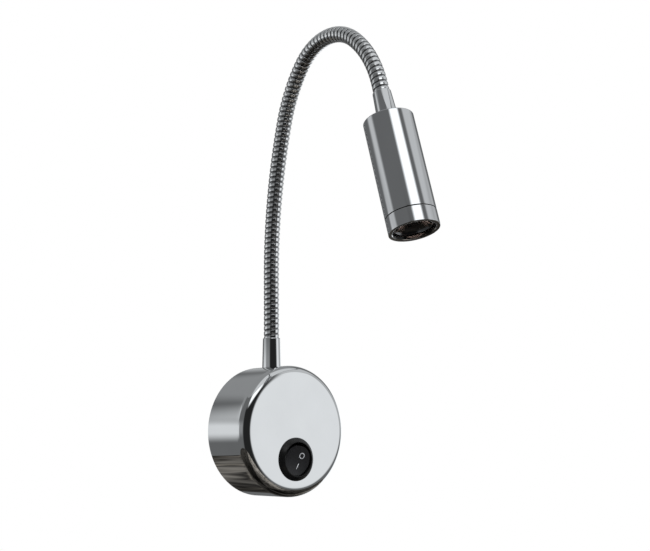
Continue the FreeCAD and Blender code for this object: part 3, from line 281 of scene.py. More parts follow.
# ---- finishes
def finish(name, look):
    # A finish with its own grain: colour, roughness and bump vary with noise on the piece.
    material, tree, shader = newMaterial(name)
    place = tree.nodes.new("ShaderNodeTexCoord")
    stretch = tree.nodes.new("ShaderNodeMapping")
    stretch.inputs["Scale"].default_value = look.get("stretch", (1, 1, 1))
    grain = tree.nodes.new("ShaderNodeTexNoise")
    grain.inputs["Scale"].default_value = look["grain"]
    grain.inputs["Detail"].default_value = 4
    tree.links.new(place.outputs["Object"], stretch.inputs["Vector"])
    tree.links.new(stretch.outputs["Vector"], grain.inputs["Vector"])
    colors = tree.nodes.new("ShaderNodeValToRGB")
    colors.color_ramp.elements[0].position = 0.3
    colors.color_ramp.elements[1].position = 0.7
    colors.color_ramp.elements[0].color = (*look["color"], 1)
    colors.color_ramp.elements[1].color = (*look.get("second", look["color"]), 1)
    tree.links.new(grain.outputs["Fac"], colors.inputs["Fac"])
    tree.links.new(colors.outputs["Color"], shader.inputs["Base Color"])
    rough = tree.nodes.new("ShaderNodeMapRange")
    rough.inputs["To Min"].default_value = look["rough"][0]
    rough.inputs["To Max"].default_value = look["rough"][1]
    tree.links.new(grain.outputs["Fac"], rough.inputs["Value"])
    tree.links.new(rough.outputs["Result"], shader.inputs["Roughness"])
    if look.get("bump"):
        bump = tree.nodes.new("ShaderNodeBump")
        bump.inputs["Strength"].default_value = look["bump"]
        bump.inputs["Distance"].default_value = look.get("bumpHeight", 0.02) * mm
        tree.links.new(grain.outputs["Fac"], bump.inputs["Height"])
        tree.links.new(bump.outputs["Normal"], shader.inputs["Normal"])
    shader.inputs["Metallic"].default_value = look.get("metal", 0)
    shader.inputs["IOR"].default_value = look.get("ior", 1.5)
    shader.inputs["Specular IOR Level"].default_value = look.get("shine", 0.5)
    shader.inputs["Coat Weight"].default_value = look.get("coat", 0)
    shader.inputs["Transmission Weight"].default_value = look.get("clear", 0)
    return material


looks = {
    "chromePlate": {"color": (0.77, 0.775, 0.785), "second": (0.8, 0.805, 0.815), "grain": 60,
                    "rough": (0.015, 0.035), "metal": 1},
    "chromeHead": {"color": (0.77, 0.775, 0.79), "second": (0.8, 0.805, 0.82), "grain": 90,
                   "rough": (0.03, 0.07), "metal": 1, "stretch": (1, 1, 0.2)},
    # seamShadow is painted shade: near black, laid inside the groove between the head's body and its
    # front ring.
    "seamShadow": {"color": (0.012, 0.012, 0.013), "second": (0.02, 0.02, 0.022), "grain": 500,
                   "rough": (0.6, 0.75)},
    "wireChrome": {"color": (0.82, 0.825, 0.835), "second": (0.86, 0.865, 0.87), "grain": 400,
                   "rough": (0.02, 0.05), "metal": 1},
    "wireSteel": {"color": (0.3, 0.3, 0.31), "second": (0.38, 0.38, 0.39), "grain": 500,
                  "rough": (0.08, 0.16), "metal": 1},
    "plateZinc": {"color": (0.55, 0.56, 0.58), "second": (0.63, 0.64, 0.66), "grain": 250,
                  "rough": (0.3, 0.5), "metal": 1, "bump": 0.2},
    "screwSteel": {"color": (0.5, 0.5, 0.52), "second": (0.6, 0.6, 0.62), "grain": 900,
                   "rough": (0.2, 0.35), "metal": 1},
    "switchPlastic": {"color": (0.004, 0.004, 0.004), "second": (0.006, 0.006, 0.006), "shine": 0.3,
                      "grain": 2600, "rough": (0.2, 0.28), "bump": 0.12, "bumpHeight": 0.006},
    "rockerPlastic": {"color": (0.009, 0.009, 0.01), "second": (0.014, 0.014, 0.015), "shine": 0.35,
                      "grain": 2400, "rough": (0.26, 0.34), "bump": 0.15, "bumpHeight": 0.008},
    "markPaint": {"color": (0.45, 0.46, 0.47), "second": (0.55, 0.56, 0.57), "grain": 1800,
                  "rough": (0.45, 0.6)},
    "brass": {"color": (0.72, 0.52, 0.24), "second": (0.8, 0.6, 0.3), "grain": 600,
              "rough": (0.2, 0.35), "metal": 1},
    "rubber": {"color": (0.02, 0.02, 0.02), "second": (0.035, 0.035, 0.035), "grain": 1200,
               "rough": (0.7, 0.85), "bump": 0.3},
    "ivoryPlastic": {"color": (0.78, 0.74, 0.62), "second": (0.82, 0.78, 0.67), "grain": 700,
                     "rough": (0.45, 0.55), "bump": 0.15},
    "whitePlastic": {"color": (0.82, 0.82, 0.8), "second": (0.86, 0.86, 0.85), "grain": 700,
                     "rough": (0.4, 0.5), "bump": 0.15},
    "boardGreen": {"color": (0.02, 0.16, 0.06), "second": (0.03, 0.22, 0.09), "grain": 450,
                   "rough": (0.3, 0.4), "coat": 0.3},
    "partBlack": {"color": (0.025, 0.025, 0.028), "second": (0.04, 0.04, 0.043), "grain": 900,
                  "rough": (0.4, 0.55), "bump": 0.2},
    "slugAluminium": {"color": (0.68, 0.69, 0.7), "second": (0.76, 0.77, 0.78), "grain": 500,
                      "rough": (0.25, 0.4), "metal": 1, "stretch": (1, 1, 0.1)},
    "boardWhite": {"color": (0.8, 0.8, 0.78), "second": (0.86, 0.86, 0.85), "grain": 500,
                   "rough": (0.3, 0.4)},
    "phosphor": {"color": (0.8, 0.55, 0.08), "second": (0.86, 0.62, 0.12), "grain": 1500,
                 "rough": (0.35, 0.5)},
    "holderBlack": {"color": (0.013, 0.01, 0.009), "second": (0.022, 0.016, 0.014),
                    "grain": 900, "rough": (0.3, 0.45), "bump": 0.15},
    # The lens's dark brown tint is painted shade: it dims the white seen through the clear glass to the
    # dark of the head's inside.
    "lensGlassPaintedShade": {"color": (0.14, 0.1, 0.085), "second": (0.17, 0.12, 0.1), "grain": 300,
                  "rough": (0.03, 0.06), "ior": 1.49, "clear": 1},
    "leadBlack": {"color": (0.015, 0.015, 0.016), "second": (0.03, 0.03, 0.03),
                  "grain": 1500, "rough": (0.5, 0.65), "bump": 0.2},
    "wireBrown": {"color": (0.16, 0.07, 0.03), "second": (0.21, 0.1, 0.045),
                  "grain": 900, "rough": (0.4, 0.5), "bump": 0.1},
}
finishes = {name: finish(name, look) for name, look in looks.items()}

nodeFinishes = {
    "wall_plate": "plateZinc", "lock_screw": "screwSteel", "cable_grommet": "rubber",
    "terminal_block": "ivoryPlastic", "terminal_screws": "brass", "driver_case": "whitePlastic",
    "driver_lid": "whitePlastic", "driver_board": "boardGreen", "driver_components": "partBlack",
    "plate_screws": "screwSteel", "switch_terminals": "brass", "switch_contact": "brass",
    "switch_plunger": "whitePlastic", "switch_spring": "screwSteel", "wire_receptacles": "brass",
    "base_wires": "wireBrown", "saddle_washer": "plateZinc",
    "base_nut": "screwSteel", "head_nut": "screwSteel", "heat_slug": "slugAluminium",
    "light_board": "boardWhite", "light_board_screws": "screwSteel", "light_chip": "phosphor",
}
for node, look in nodeFinishes.items():
    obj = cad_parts[node]
    for slot in obj.material_slots:
        slot.material = finishes[look]
print("finishes ready")


# ---- modelling helpers, used as by hand
def beginEdit(kind="VERT"):
    bpy.ops.object.mode_set(mode="EDIT")
    bpy.ops.mesh.select_mode(type=kind)


def endEdit():
    bpy.ops.object.mode_set(mode="OBJECT")


def pickRing(obj, radius, height, spread=0.00002):
    # Selects the edges of one ring about the local Z axis.
    endEdit()
    for part in (obj.data.vertices, obj.data.edges, obj.data.polygons):
        part.foreach_set("select", [False] * len(part))
    for v in obj.data.vertices:
        here = math.hypot(v.co.x, v.co.y)
        v.select = abs(here - radius) < spread and abs(v.co.z - height) < spread
    for e in obj.data.edges:
        e.select = all(obj.data.vertices[i].select for i in e.vertices)
    beginEdit("EDGE")


def lathe(name, rings, steps=128, open=False):
    # A turned piece: a circle is extruded from ring to ring, each (radius, height) in mm.
    # A closed section is bridged at the end, an open one keeps its two ends filled.
    first = rings[0]
    bpy.ops.mesh.primitive_circle_add(vertices=steps, radius=first[0] * mm,
                                      location=(0, 0, first[1] * mm))
    obj = bpy.context.object
    obj.name = name
    bpy.ops.object.transform_apply(location=True)
    beginEdit("EDGE")
    bpy.ops.mesh.select_all(action="SELECT")
    if open:
        bpy.ops.mesh.edge_face_add()
        bpy.ops.mesh.select_mode(type="FACE")
    before = first
    for ring in rings[1:]:
        if open:
            bpy.ops.mesh.extrude_region_move()
        else:
            bpy.ops.mesh.extrude_edges_move()
        bpy.ops.transform.translate(value=(0, 0, (ring[1] - before[1]) * mm))
        grow = ring[0] / before[0]
        bpy.ops.transform.resize(value=(grow, grow, 1), center_override=(0, 0, 0))
        before = ring
    if not open:
        endEdit()
        count = len(obj.data.vertices)
        for e in obj.data.edges:
            e.select = all(i < steps or i >= count - steps for i in e.vertices) and (
                (e.vertices[0] < steps) == (e.vertices[1] < steps))
        for v in obj.data.vertices:
            v.select = v.index < steps or v.index >= count - steps
        beginEdit("EDGE")
        bpy.ops.mesh.bridge_edge_loops()
    bpy.ops.mesh.select_all(action="SELECT")
    bpy.ops.mesh.normals_make_consistent(inside=False)
    endEdit()
    return obj


def roundRing(obj, radius, height, size, segments=4):
    pickRing(obj, radius * mm, height * mm)
    bpy.ops.mesh.bevel(offset=size * mm, segments=segments, affect="EDGES")
    endEdit()


def pickOnly(obj):
    bpy.ops.object.select_all(action="DESELECT")
    obj.select_set(True)
    bpy.context.view_layer.objects.active = obj


def settle(obj, place, look, body, slotName, *nodes):
    # Puts a finished piece in its place, with its place in its mesh, and ties it to its body.
    obj.matrix_world = place
    pickOnly(obj)
    bpy.ops.object.transform_apply(location=True, rotation=True, scale=True)
    bpy.ops.object.shade_smooth_by_angle(angle=math.radians(32))
    obj.data.materials.clear()
    obj.data.materials.append(finishes[look])
    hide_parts(*nodes)
    if body:
        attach(obj, body)
    obj.select_set(False)
    return obj


def cutWith(obj, tool, operation="DIFFERENCE"):
    cut = obj.modifiers.new("cut", "BOOLEAN")
    cut.operation = operation
    cut.solver = "EXACT"
    cut.object = tool
    pickOnly(obj)
    bpy.ops.object.modifier_apply(modifier=cut.name)
    bpy.data.objects.remove(tool)


def rod(radius, start, end, place=Matrix(), steps=64):
    # A cutting rod along the local Z of place.
    bpy.ops.mesh.primitive_cylinder_add(vertices=steps, radius=radius * mm, depth=(end - start) * mm)
    obj = bpy.context.object
    obj.matrix_world = place @ Matrix.Translation((0, 0, (start + end) / 2 * mm))
    bpy.ops.object.transform_apply(location=True, rotation=True, scale=True)
    return obj


def block(size, place=Matrix()):
    # A block to join on, with its sizes along the local axes of place.
    bpy.ops.mesh.primitive_cube_add(size=1)
    obj = bpy.context.object
    obj.matrix_world = place @ Matrix.LocRotScale(None, None, Vector(size) * mm)
    bpy.ops.object.transform_apply(location=True, rotation=True, scale=True)
    return obj


def flatFaces(obj):
    # Keeps flat faces flat beside rounded edges, which a mirror finish shows.
    keep = obj.modifiers.new("flatFaces", "WEIGHTED_NORMAL")
    keep.keep_sharp = True
    pickOnly(obj)
    bpy.ops.object.modifier_apply(modifier=keep.name)


# ---- base cup
cupSize = {
    "radius": 35.0, "depth": 32.0, "wall": 2.0, "rimGap": 0.5, "edge": 5.0, "innerBevel": 3.0,
    "switchHole": 10.0, "switchDrop": 15.0, "stemOffset": 11.0, "stemHole": 4.15,
    "seatRadius": 5.4, "seatHeight": 34.58, "lockHole": 1.7, "lockHeight": 7.0, "wallRings": 12,
    "ledgeTurn": 65.0, "ledge": (7.0, 3.4, 3.0), "ledgeStart": 5.0,
    "frontCut": (26, 36), "sideCut": (25, 40),
}
onWall = Matrix.Rotation(math.radians(90), 4, "X")


def makeCupShell(size):
    inner = size["radius"] - size["wall"]
    floorLevel = size["depth"] - size["wall"]
    wallTop = size["depth"] - size["edge"]
    rise = (wallTop - size["rimGap"]) / size["wallRings"]
    rings = [(0.5, floorLevel), (inner - size["innerBevel"], floorLevel),
             (inner, floorLevel - size["innerBevel"]), (inner, size["rimGap"])]
    rings += [(size["radius"], size["rimGap"] + rise * n) for n in range(size["wallRings"] + 1)]
    edgeSteps = 16
    for n in range(1, edgeSteps + 1):
        turn = math.radians(90 * n / edgeSteps)
        rings.append((size["radius"] - size["edge"] * (1 - math.cos(turn)),
                      wallTop + size["edge"] * math.sin(turn)))
    rings += [(size["radius"] - size["edge"] - 1, size["depth"]), (0.5, size["depth"])]
    return lathe("baseCup", rings, steps=192, open=True)


cup = makeCupShell(cupSize)
switchSpot = Matrix.Translation((0, -cupSize["switchDrop"] * mm, 0))
cutWith(cup, rod(cupSize["switchHole"], *cupSize["frontCut"], switchSpot))
upward, downward = (Matrix.Rotation(math.radians(a), 4, "X") for a in (-90, 90))
up = Matrix.Translation((0, 0, cupSize["stemOffset"] * mm)) @ upward
cutWith(cup, rod(cupSize["stemHole"], *cupSize["sideCut"], up))
cutWith(cup, rod(cupSize["seatRadius"], cupSize["seatHeight"], cupSize["sideCut"][1], up))
down = Matrix.Translation((0, 0, cupSize["lockHeight"] * mm)) @ downward
cutWith(cup, rod(cupSize["lockHole"], *cupSize["sideCut"], down))
for side in (1, -1):
    # The two ledges that hook behind the wall plate's tips.
    reach = cupSize["radius"] - cupSize["wall"] / 2 - cupSize["ledge"][1] / 2
    spot = Matrix.Rotation(math.radians(side * cupSize["ledgeTurn"]), 4, "Z") @ Matrix.Translation(
        Vector((0, reach, cupSize["ledgeStart"] + cupSize["ledge"][2] / 2)) * mm)
    cutWith(cup, block(cupSize["ledge"], spot), "UNION")
settle(cup, onWall, "chromePlate", "base", "chrome_base", "base_cup")
flatFaces(cup)
print("base cup made")


# ---- base ferrule
ferruleSize = {
    "foot": 5.2, "footStep": (0.0137, 0.5), "mouth": 4.8, "length": 16.4, "chamfer": 0.3,
    "stud": 4.0, "studLength": 9.2,
    "hoseSeat": 9.0, "hoseHole": 4.32, "leadBore": 2.0, "place": (0, -11.0, 34.58),
}


def makeFerrule(name, size):
    rings = [
        (size["leadBore"], -size["studLength"]), (size["stud"], -size["studLength"]),
        (size["stud"], 0), (size["foot"], 0), (size["foot"] - size["footStep"][0], size["footStep"][1]),
        (size["mouth"], size["length"] - size["chamfer"]),
        (size["mouth"] - size["chamfer"], size["length"]), (size["hoseHole"], size["length"]),
        (size["hoseHole"], size["length"] - size["hoseSeat"]),
        (size["leadBore"], size["length"] - size["hoseSeat"])]
    ferrule = lathe(name, rings, steps=96)
    roundRing(ferrule, size["mouth"], size["length"] - size["chamfer"], 0.2, 4)
    roundRing(ferrule, size["foot"], 0, 0.12, 2)
    return ferrule


baseFerrule = makeFerrule("baseFerrule", ferruleSize)
settle(baseFerrule, Matrix.Translation(Vector(ferruleSize["place"]) * mm), "chromePlate", "base",
       "chrome_arm", "base_ferrule")
print("base ferrule made")


# ---- arm centre line
arm = {
    "foot": (0, -11.0, 50.98), "lead": 12.0,
    "runs": [(35.0, 0), (300.0, 16.5), (76.0, 24.5), (31.5, 86.5), (56.0, 36.0), (5.5, 0)],
    "length": 242.1, "turned": 163.5, "arcStep": 12, "tail": 16.0, "beyond": 1000.0,
}


def leanedBy(angle):
    # The arm's direction once it has leaned forward by this angle, in degrees.
    a = math.radians(angle)
    return Vector((0, -math.sin(a), math.cos(a)))


def arcStep(turned, size, angle):
    # The way along an arc of a radius that starts in the direction turned and bends by angle.
    a = math.radians(angle)
    return leanedBy(turned + 90) * size * (1 - math.cos(a)) + leanedBy(turned) * size * math.sin(a)


def armKnots():
    # Where the centre line's straight runs and short arcs meet: place, direction, distance.
    place = Vector(arm["foot"]) - Vector((0, 0, arm["lead"]))
    knots = [(place.copy(), 0.0, -arm["lead"])]
    turned, travelled = 0.0, -arm["lead"]
    runs = [(arm["lead"], 0)] + arm["runs"] + [(arm["tail"], 0)]
    for size, angle in runs:
        parts = max(1, math.ceil(angle / arm["arcStep"]))
        for _ in range(parts):
            if angle:
                place = place + arcStep(turned, size, angle / parts)
                turned += angle / parts
                travelled += size * math.radians(angle / parts)
            else:
                place = place + leanedBy(turned) * size
                travelled += size
            knots.append((place.copy(), turned, travelled))
    return knots


def armPoint(distance):
    # The place on the centre line at a distance from the base ferrule's mouth, in mm.
    place, turned, travelled = Vector(arm["foot"]), 0.0, 0.0
    if distance < 0:
        return place + Vector((0, 0, distance))
    for size, angle in arm["runs"] + [(arm["beyond"], 0)]:
        whole = size * math.radians(angle) if angle else size
        part = min(1.0, (distance - travelled) / whole)
        if angle:
            place = place + arcStep(turned, size, angle * part)
            turned += angle * part
        else:
            place = place + leanedBy(turned) * size * part
        travelled += whole
        if part < 1:
            break
    return place


def makeArmPath():
    curve = bpy.data.curves.new("armPath", "CURVE")
    curve.dimensions = "3D"
    curve.twist_mode = "MINIMUM"
    curve.resolution_u = 48
    spline = curve.splines.new("BEZIER")
    knots = armKnots()
    spline.bezier_points.add(len(knots) - 1)
    for n, (place, turned, travelled) in enumerate(knots):
        point = spline.bezier_points[n]
        point.co = place * mm
        point.handle_left_type = point.handle_right_type = "FREE"
        heading = leanedBy(turned)
        reach = []
        for other in (n - 1, n + 1):
            if not 0 <= other < len(knots):
                reach.append(1.0)
                continue
            bend = math.radians(abs(knots[other][1] - turned))
            length = abs(knots[other][2] - travelled)
            radius = length / bend if bend else 0
            reach.append(4 / 3 * math.tan(bend / 4) * radius if bend else length / 3)
        point.handle_left = (place - heading * reach[0]) * mm
        point.handle_right = (place + heading * reach[1]) * mm
    path = bpy.data.objects.new("armPath", curve)
    scene.collection.objects.link(path)
    return path


armPath = makeArmPath()

# ---- gooseneck: a wide flat-backed wire outside, a narrow wire that shows in its grooves
wires = {
    "turns": 85, "steps": 36, "nearFirst": 2,
    "half": 1.02, "flat": 0.8, "crest": 4.27, "crown": 0.03, "corner": 0.22, "neck": 0.8,
    "neckDrop": 0.75, "root": 2.72,
    "innerTop": 3.98, "innerHalf": 0.28, "innerFoot": 0.62, "innerFlare": 0.04,
    "innerLevels": (2.76, 3.3, 3.45),
}
hinges = [16.0, 77.804, 132.039, 158.318, 176.295, 194.273, 220.653]
pitch = arm["length"] / wires["turns"]
hoseEnds = (-ferruleSize["hoseSeat"], arm["length"] + ferruleSize["hoseSeat"])
stretchEnds = [0.0] + hinges + [arm["length"]]
middles = [(a + b) / 2 for a, b in zip(stretchEnds, stretchEnds[1:])]
cuts = [round(spot / pitch) for spot in [hoseEnds[0]] + middles[1:-1] + [hoseEnds[1]]]


def wireTurns(name, section, start, turns):
    # One stretch of a wire: its section, wound up the Z axis with the Screw modifier.
    bpy.ops.mesh.primitive_circle_add(vertices=len(section), radius=mm)
    obj = bpy.context.object
    obj.name = name
    for v, (outward, along) in zip(obj.data.vertices, section):
        v.co = Vector((outward, 0, along + start * pitch + arm["lead"])) * mm
    wind = obj.modifiers.new("wind", "SCREW")
    wind.axis = "Z"
    wind.angle = math.radians(360)
    wind.screw_offset = pitch * mm
    wind.iterations = turns
    wind.steps = wind.render_steps = wires["steps"]
    bpy.ops.object.modifier_apply(modifier=wind.name)
    beginEdit("EDGE")
    bpy.ops.mesh.select_all(action="DESELECT")
    bpy.ops.mesh.select_non_manifold()
    bpy.ops.mesh.edge_face_add()
    bpy.ops.mesh.select_all(action="SELECT")
    bpy.ops.mesh.normals_make_consistent(inside=False)
    endEdit()
    return obj


def alongArm(obj):
    bend = obj.modifiers.new("bend", "CURVE")
    bend.object = armPath
    bend.deform_axis = "POS_Z"
    bpy.ops.object.modifier_apply(modifier=bend.name)


def outerSection():
    # A wide ridge: a gently crowned back between two rounded corners, and a narrower root.
    half, flat, crest, corner = (wires[k] for k in ("half", "flat", "crest", "corner"))
    section = [(wires["root"], wires["neck"]), (crest - wires["neckDrop"], wires["neck"])]
    for n in range(4):
        turn = math.radians(90 * n / 3)
        section.append((crest - wires["crown"] - corner * (1 - math.sin(turn)),
                        flat + (half - flat) * math.cos(turn)))
    section.append((crest, 0))
    for outward, along in reversed(section[:-1]):
        section.append((outward, -along))
    return section


def innerSection():
    # A round back between the ridges on a wider foot that bears on their necks.
    top, half, foot = wires["innerTop"], wires["innerHalf"], wires["innerFoot"]
    root, shoulder, waist = wires["innerLevels"]
    side = [(root, foot), (shoulder, foot), (waist, half + wires["innerFlare"])]
    side += [(top - half * (1 - math.sin(math.radians(a))), half * math.cos(math.radians(a)))
             for a in (0, 30, 60)]
    return side + [(top, 0)] + [(outward, -along) for outward, along in reversed(side)]


def blendAcross(obj, n, look, slotName, *nodes):
    bpy.ops.object.shade_smooth_by_angle(angle=math.radians(50))
    obj.data.materials.clear()
    obj.data.materials.append(finishes[look])
    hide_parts(*nodes)
    # The first stretches pick their near ends first and the others their far ends; the centre-line
    # places at those middles are worked out but not used.
    ends = [n, n + 1] if n < wires["nearFirst"] else [n + 1, n]
    armPoint(middles[ends[0]]) * mm
    armPoint(middles[ends[1]]) * mm
    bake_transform(obj)
    obj.select_set(False)


print("gooseneck turns cut at", cuts)
for n in range(len(hinges)):
    turns = cuts[n + 1] - cuts[n]
    outer = wireTurns("outerWire_%02d" % (n + 1), outerSection(), cuts[n], turns)
    alongArm(outer)
    blendAcross(outer, n, "wireChrome", "chrome_arm", "gooseneck_hose")
    inner = wireTurns("innerWire_%02d" % (n + 1), innerSection(), cuts[n] + 0.5, turns)
    alongArm(inner)
    coils = ["arm_coil_%02d" % n, "arm_coil_%02d" % (n + 1)]
    blendAcross(inner, n, "wireSteel", "coil_steel", *coils)
print("gooseneck made")

# ---- the lead inside the arm
lead = {"radius": 0.9, "start": -29.98, "end": 302.1, "sides": 16, "spacing": 2}


def makeLead(n):
    start = lead["start"] if n == 0 else cuts[n] * pitch
    end = lead["end"] if n == len(hinges) - 1 else cuts[n + 1] * pitch
    bpy.ops.mesh.primitive_cylinder_add(vertices=lead["sides"], radius=lead["radius"] * mm,
                                        depth=(end - start) * mm,
                                        location=(0, 0, ((start + end) / 2 + arm["lead"]) * mm))
    obj = bpy.context.object
    obj.name = "armLead_%02d" % (n + 1)
    bpy.ops.object.transform_apply(location=True)
    beginEdit()
    for k in range(1, math.ceil((end - start) / lead["spacing"])):
        level = start + lead["spacing"] * k + arm["lead"]
        bpy.ops.mesh.select_all(action="SELECT")
        bpy.ops.mesh.bisect(plane_co=(0, 0, level * mm), plane_no=(0, 0, 1))
    endEdit()
    return obj


for n in range(len(hinges)):
    strand = makeLead(n)
    alongArm(strand)
    blendAcross(strand, n, "leadBlack", "lead_black", "led_lead")
bpy.data.objects.remove(armPath)
print("lead made")

# ---- head, turned about its own axis from its top to the lens
headSize = {
    "radius": 13.0, "body": 53.0, "ring": 8.4, "wall": 2.0, "top": 3.0, "edge": 0.6,
    "stud": 4.15, "seam": 0.4, "seamDepth": 0.5, "sleeve": 6.0, "sleeveWall": 1.4,
    "mouth": 10.9, "bevel": 0.35, "flange": 57.0, "play": 0.05,
    "bodyGroove": (-0.2, 0.1, 0.1), "ringGroove": (-0.1, 0.45, 0.05),
}
headFerruleSize = {"mouth": 4.8, "chamfer": 0.3, "foot": 5.5, "length": 16.0, "stud": 4.0,
                   "studLength": 8.0, "leadBore": 2.0, "hoseSeat": 9.0, "hoseHole": 4.32}
headTurn = Matrix.Rotation(math.radians(arm["turned"]), 4, "X")
headFerrulePlace = Matrix.Translation(armPoint(arm["length"]) * mm) @ headTurn
headPlace = Matrix.Translation(armPoint(arm["length"] + headFerruleSize["length"]) * mm) @ headTurn


def makeHeadFerrule(size):
    # Built from its mouth, which is at the arm's end, down to the stud inside the head.
    slope = (size["foot"] - size["mouth"]) / (size["length"] - size["chamfer"])
    ferrule = lathe("headFerrule", [
        (size["hoseHole"], 0), (size["mouth"] - size["chamfer"], 0),
        (size["mouth"], size["chamfer"]), (size["foot"] - slope * 0.5, size["length"] - 0.5),
        (size["foot"], size["length"]), (size["stud"], size["length"]),
        (size["stud"], size["length"] + size["studLength"]),
        (size["leadBore"], size["length"] + size["studLength"]),
        (size["leadBore"], size["hoseSeat"]), (size["hoseHole"], size["hoseSeat"])], steps=96)
    roundRing(ferrule, size["mouth"], size["chamfer"], 0.2, 4)
    return ferrule


headFerrule = makeHeadFerrule(headFerruleSize)
settle(headFerrule, headFerrulePlace, "chromePlate", "head", "chrome_arm", "head_ferrule")


def makeHeadBody(size):
    inner = size["radius"] - size["wall"]
    body = lathe("headBody", [
        (size["stud"], 0), (size["radius"] - 2, 0), (size["radius"], 0), (size["radius"], 2),
        (size["radius"], size["body"] - 1), (size["radius"], size["body"]),
        (inner, size["body"]), (inner, size["top"]), (size["stud"], size["top"])])
    roundRing(body, size["radius"], 0, size["edge"], 6)
    roundRing(body, size["radius"], size["body"], 0.15, 3)
    return body


def makeFrontRing(size):
    sleeve = size["radius"] - size["wall"] - size["play"]
    front = size["body"] + size["ring"]
    behind = size["body"] + size["seam"]
    ring = lathe("frontRing", [
        (sleeve - size["sleeveWall"], size["body"] - size["sleeve"]),
        (sleeve, size["body"] - size["sleeve"]), (sleeve, size["body"]),
        (size["radius"] - size["seamDepth"], size["body"]),
        (size["radius"] - size["seamDepth"], behind), (size["radius"], behind),
        (size["radius"], behind + 1), (size["radius"], front - 1), (size["radius"], front),
        (size["mouth"] + size["bevel"], front), (size["mouth"], front - size["bevel"]),
        (size["mouth"], size["flange"]), (sleeve - size["sleeveWall"], size["flange"])])
    roundRing(ring, size["radius"], front, 0.2, 4)
    roundRing(ring, size["radius"], behind, 0.15, 3)
    roundRing(ring, size["mouth"] + size["bevel"], front, 0.1, 3)
    return ring


def paintSeamShade(obj, groove):
    # Paints shade into the seam with the near-black seamShadow finish, on the faces between two levels
    # about the body's end and deeper than a step below the head's surface.
    low, high = headSize["body"] + groove[0], headSize["body"] + groove[1]
    radius = headSize["radius"] - groove[2]
    obj.data.materials.append(finishes["seamShadow"])
    away = headPlace.inverted()
    for face in obj.data.polygons:
        spot = away @ face.center / mm
        if low < spot.z < high and math.hypot(spot.x, spot.y) < radius:
            face.material_index = 1


headBody = makeHeadBody(headSize)
settle(headBody, headPlace, "chromeHead", "head", "chrome_head", "head_body")
flatFaces(headBody)
paintSeamShade(headBody, headSize["bodyGroove"])
frontRing = makeFrontRing(headSize)
settle(frontRing, headPlace, "chromeHead", "head", "chrome_head", "front_ring")
flatFaces(frontRing)
paintSeamShade(frontRing, headSize["ringGroove"])
print("head made")

# ---- lens and its holder
lensSize = {
    "front": 8.9, "back": 4.2, "rim": 10.2, "rimHeight": 0.96, "backGap": 0.1,
    "pocket": [(0.4, 2.4), (1.4, 2.2), (2.1, 1.68), (2.1, 0)],
    "dome": [(9.2, 1.06), (7.2, 1.3), (4.6, 1.5), (0.4, 1.6)],
    "flange": 57.0, "level": 58.2, "foot": 45.9, "floor": 1.2, "lip": 10.8, "mouth": 9.1,
    "throat": 4.4, "hole": 3.9,
}


def makeHolder(size):
    outer = headSize["radius"] - headSize["wall"] - headSize["sleeveWall"] - 2 * headSize["play"]
    floorLevel = size["foot"] + size["floor"]
    holder = lathe("lensHolder", [
        (size["hole"], size["foot"]), (outer, size["foot"]), (outer, size["flange"]),
        (size["lip"], size["flange"]), (size["lip"], size["level"]), (size["mouth"], size["level"]),
        (size["throat"], floorLevel), (size["hole"], floorLevel)], steps=96)
    roundRing(holder, size["mouth"], size["level"], 0.15, 2)
    return holder


def makeLens(size):
    back = size["foot"] + size["floor"] + size["backGap"]
    rings = [(radius, back + height) for radius, height in size["pocket"]]
    rings += [(size["back"], back), (size["front"], size["level"]), (size["rim"], size["level"]),
              (size["rim"], size["level"] + size["rimHeight"])]
    rings += [(radius, size["level"] + height) for radius, height in size["dome"]]
    face = lathe("lens", rings, steps=96, open=True)
    roundRing(face, size["rim"], size["level"] + size["rimHeight"], 0.25, 3)
    return face


holder = makeHolder(lensSize)
settle(holder, headPlace, "holderBlack", "head", "holder_black", "lens_holder")
lens = makeLens(lensSize)
settle(lens, headPlace, "lensGlassPaintedShade", "head", "lens_clear", "lens")
print("lens made")

# ---- rocker switch
switchSize = {
    "drop": 15.0, "turn": -29.5, "face": 32.0, "flange": 11.5, "flangeEdge": 0.6,
    "flangeHeight": 2.4, "ring": 9.4, "well": 8.9, "barrel": 9.8, "depth": 14.0, "floor": 1.6,
    "rocker": 7.9, "rimEdge": 0.16, "rim": 2.6, "skirt": 2.6, "dish": 1.2, "pivot": 3.5, "tilt": 8.0,
    "web": (15.6, 5.0), "webDepth": 5.5, "boss": 2.3, "bossDepth": 7.5, "pin": 1.0,
    "pinReach": 9.6, "bore": 1.5, "boreTop": 2.4,
}
switchPlace = onWall @ Matrix.Translation((0, -switchSize["drop"] * mm, switchSize["face"] * mm)) \
    @ Matrix.Rotation(math.radians(switchSize["turn"]), 4, "Z")
rockerPlace = switchPlace @ Matrix.Translation((0, 0, -switchSize["pivot"] * mm)) \
    @ Matrix.Rotation(math.radians(switchSize["tilt"]), 4, "X")


def makeHousing(size):
    housing = lathe("switchHousing", [
        (size["well"], size["flangeHeight"]), (size["ring"], size["flangeHeight"]),
        (size["flange"], size["flangeEdge"]), (size["flange"], 0), (size["barrel"], 0),
        (size["barrel"], -size["depth"]), (1, -size["depth"]),
        (1, size["floor"] - size["depth"]), (size["well"], size["floor"] - size["depth"])],
        steps=128)
    roundRing(housing, size["ring"], size["flangeHeight"], 0.24, 4)
    roundRing(housing, size["well"], size["flangeHeight"], 0.2, 4)
    roundRing(housing, size["flange"], size["flangeEdge"], 0.3, 4)
    return housing


def dishCurve(size):
    # The radius of the round cut that dishes the rocker.
    return (size["rocker"] ** 2 + size["dish"] ** 2) / (2 * size["dish"])


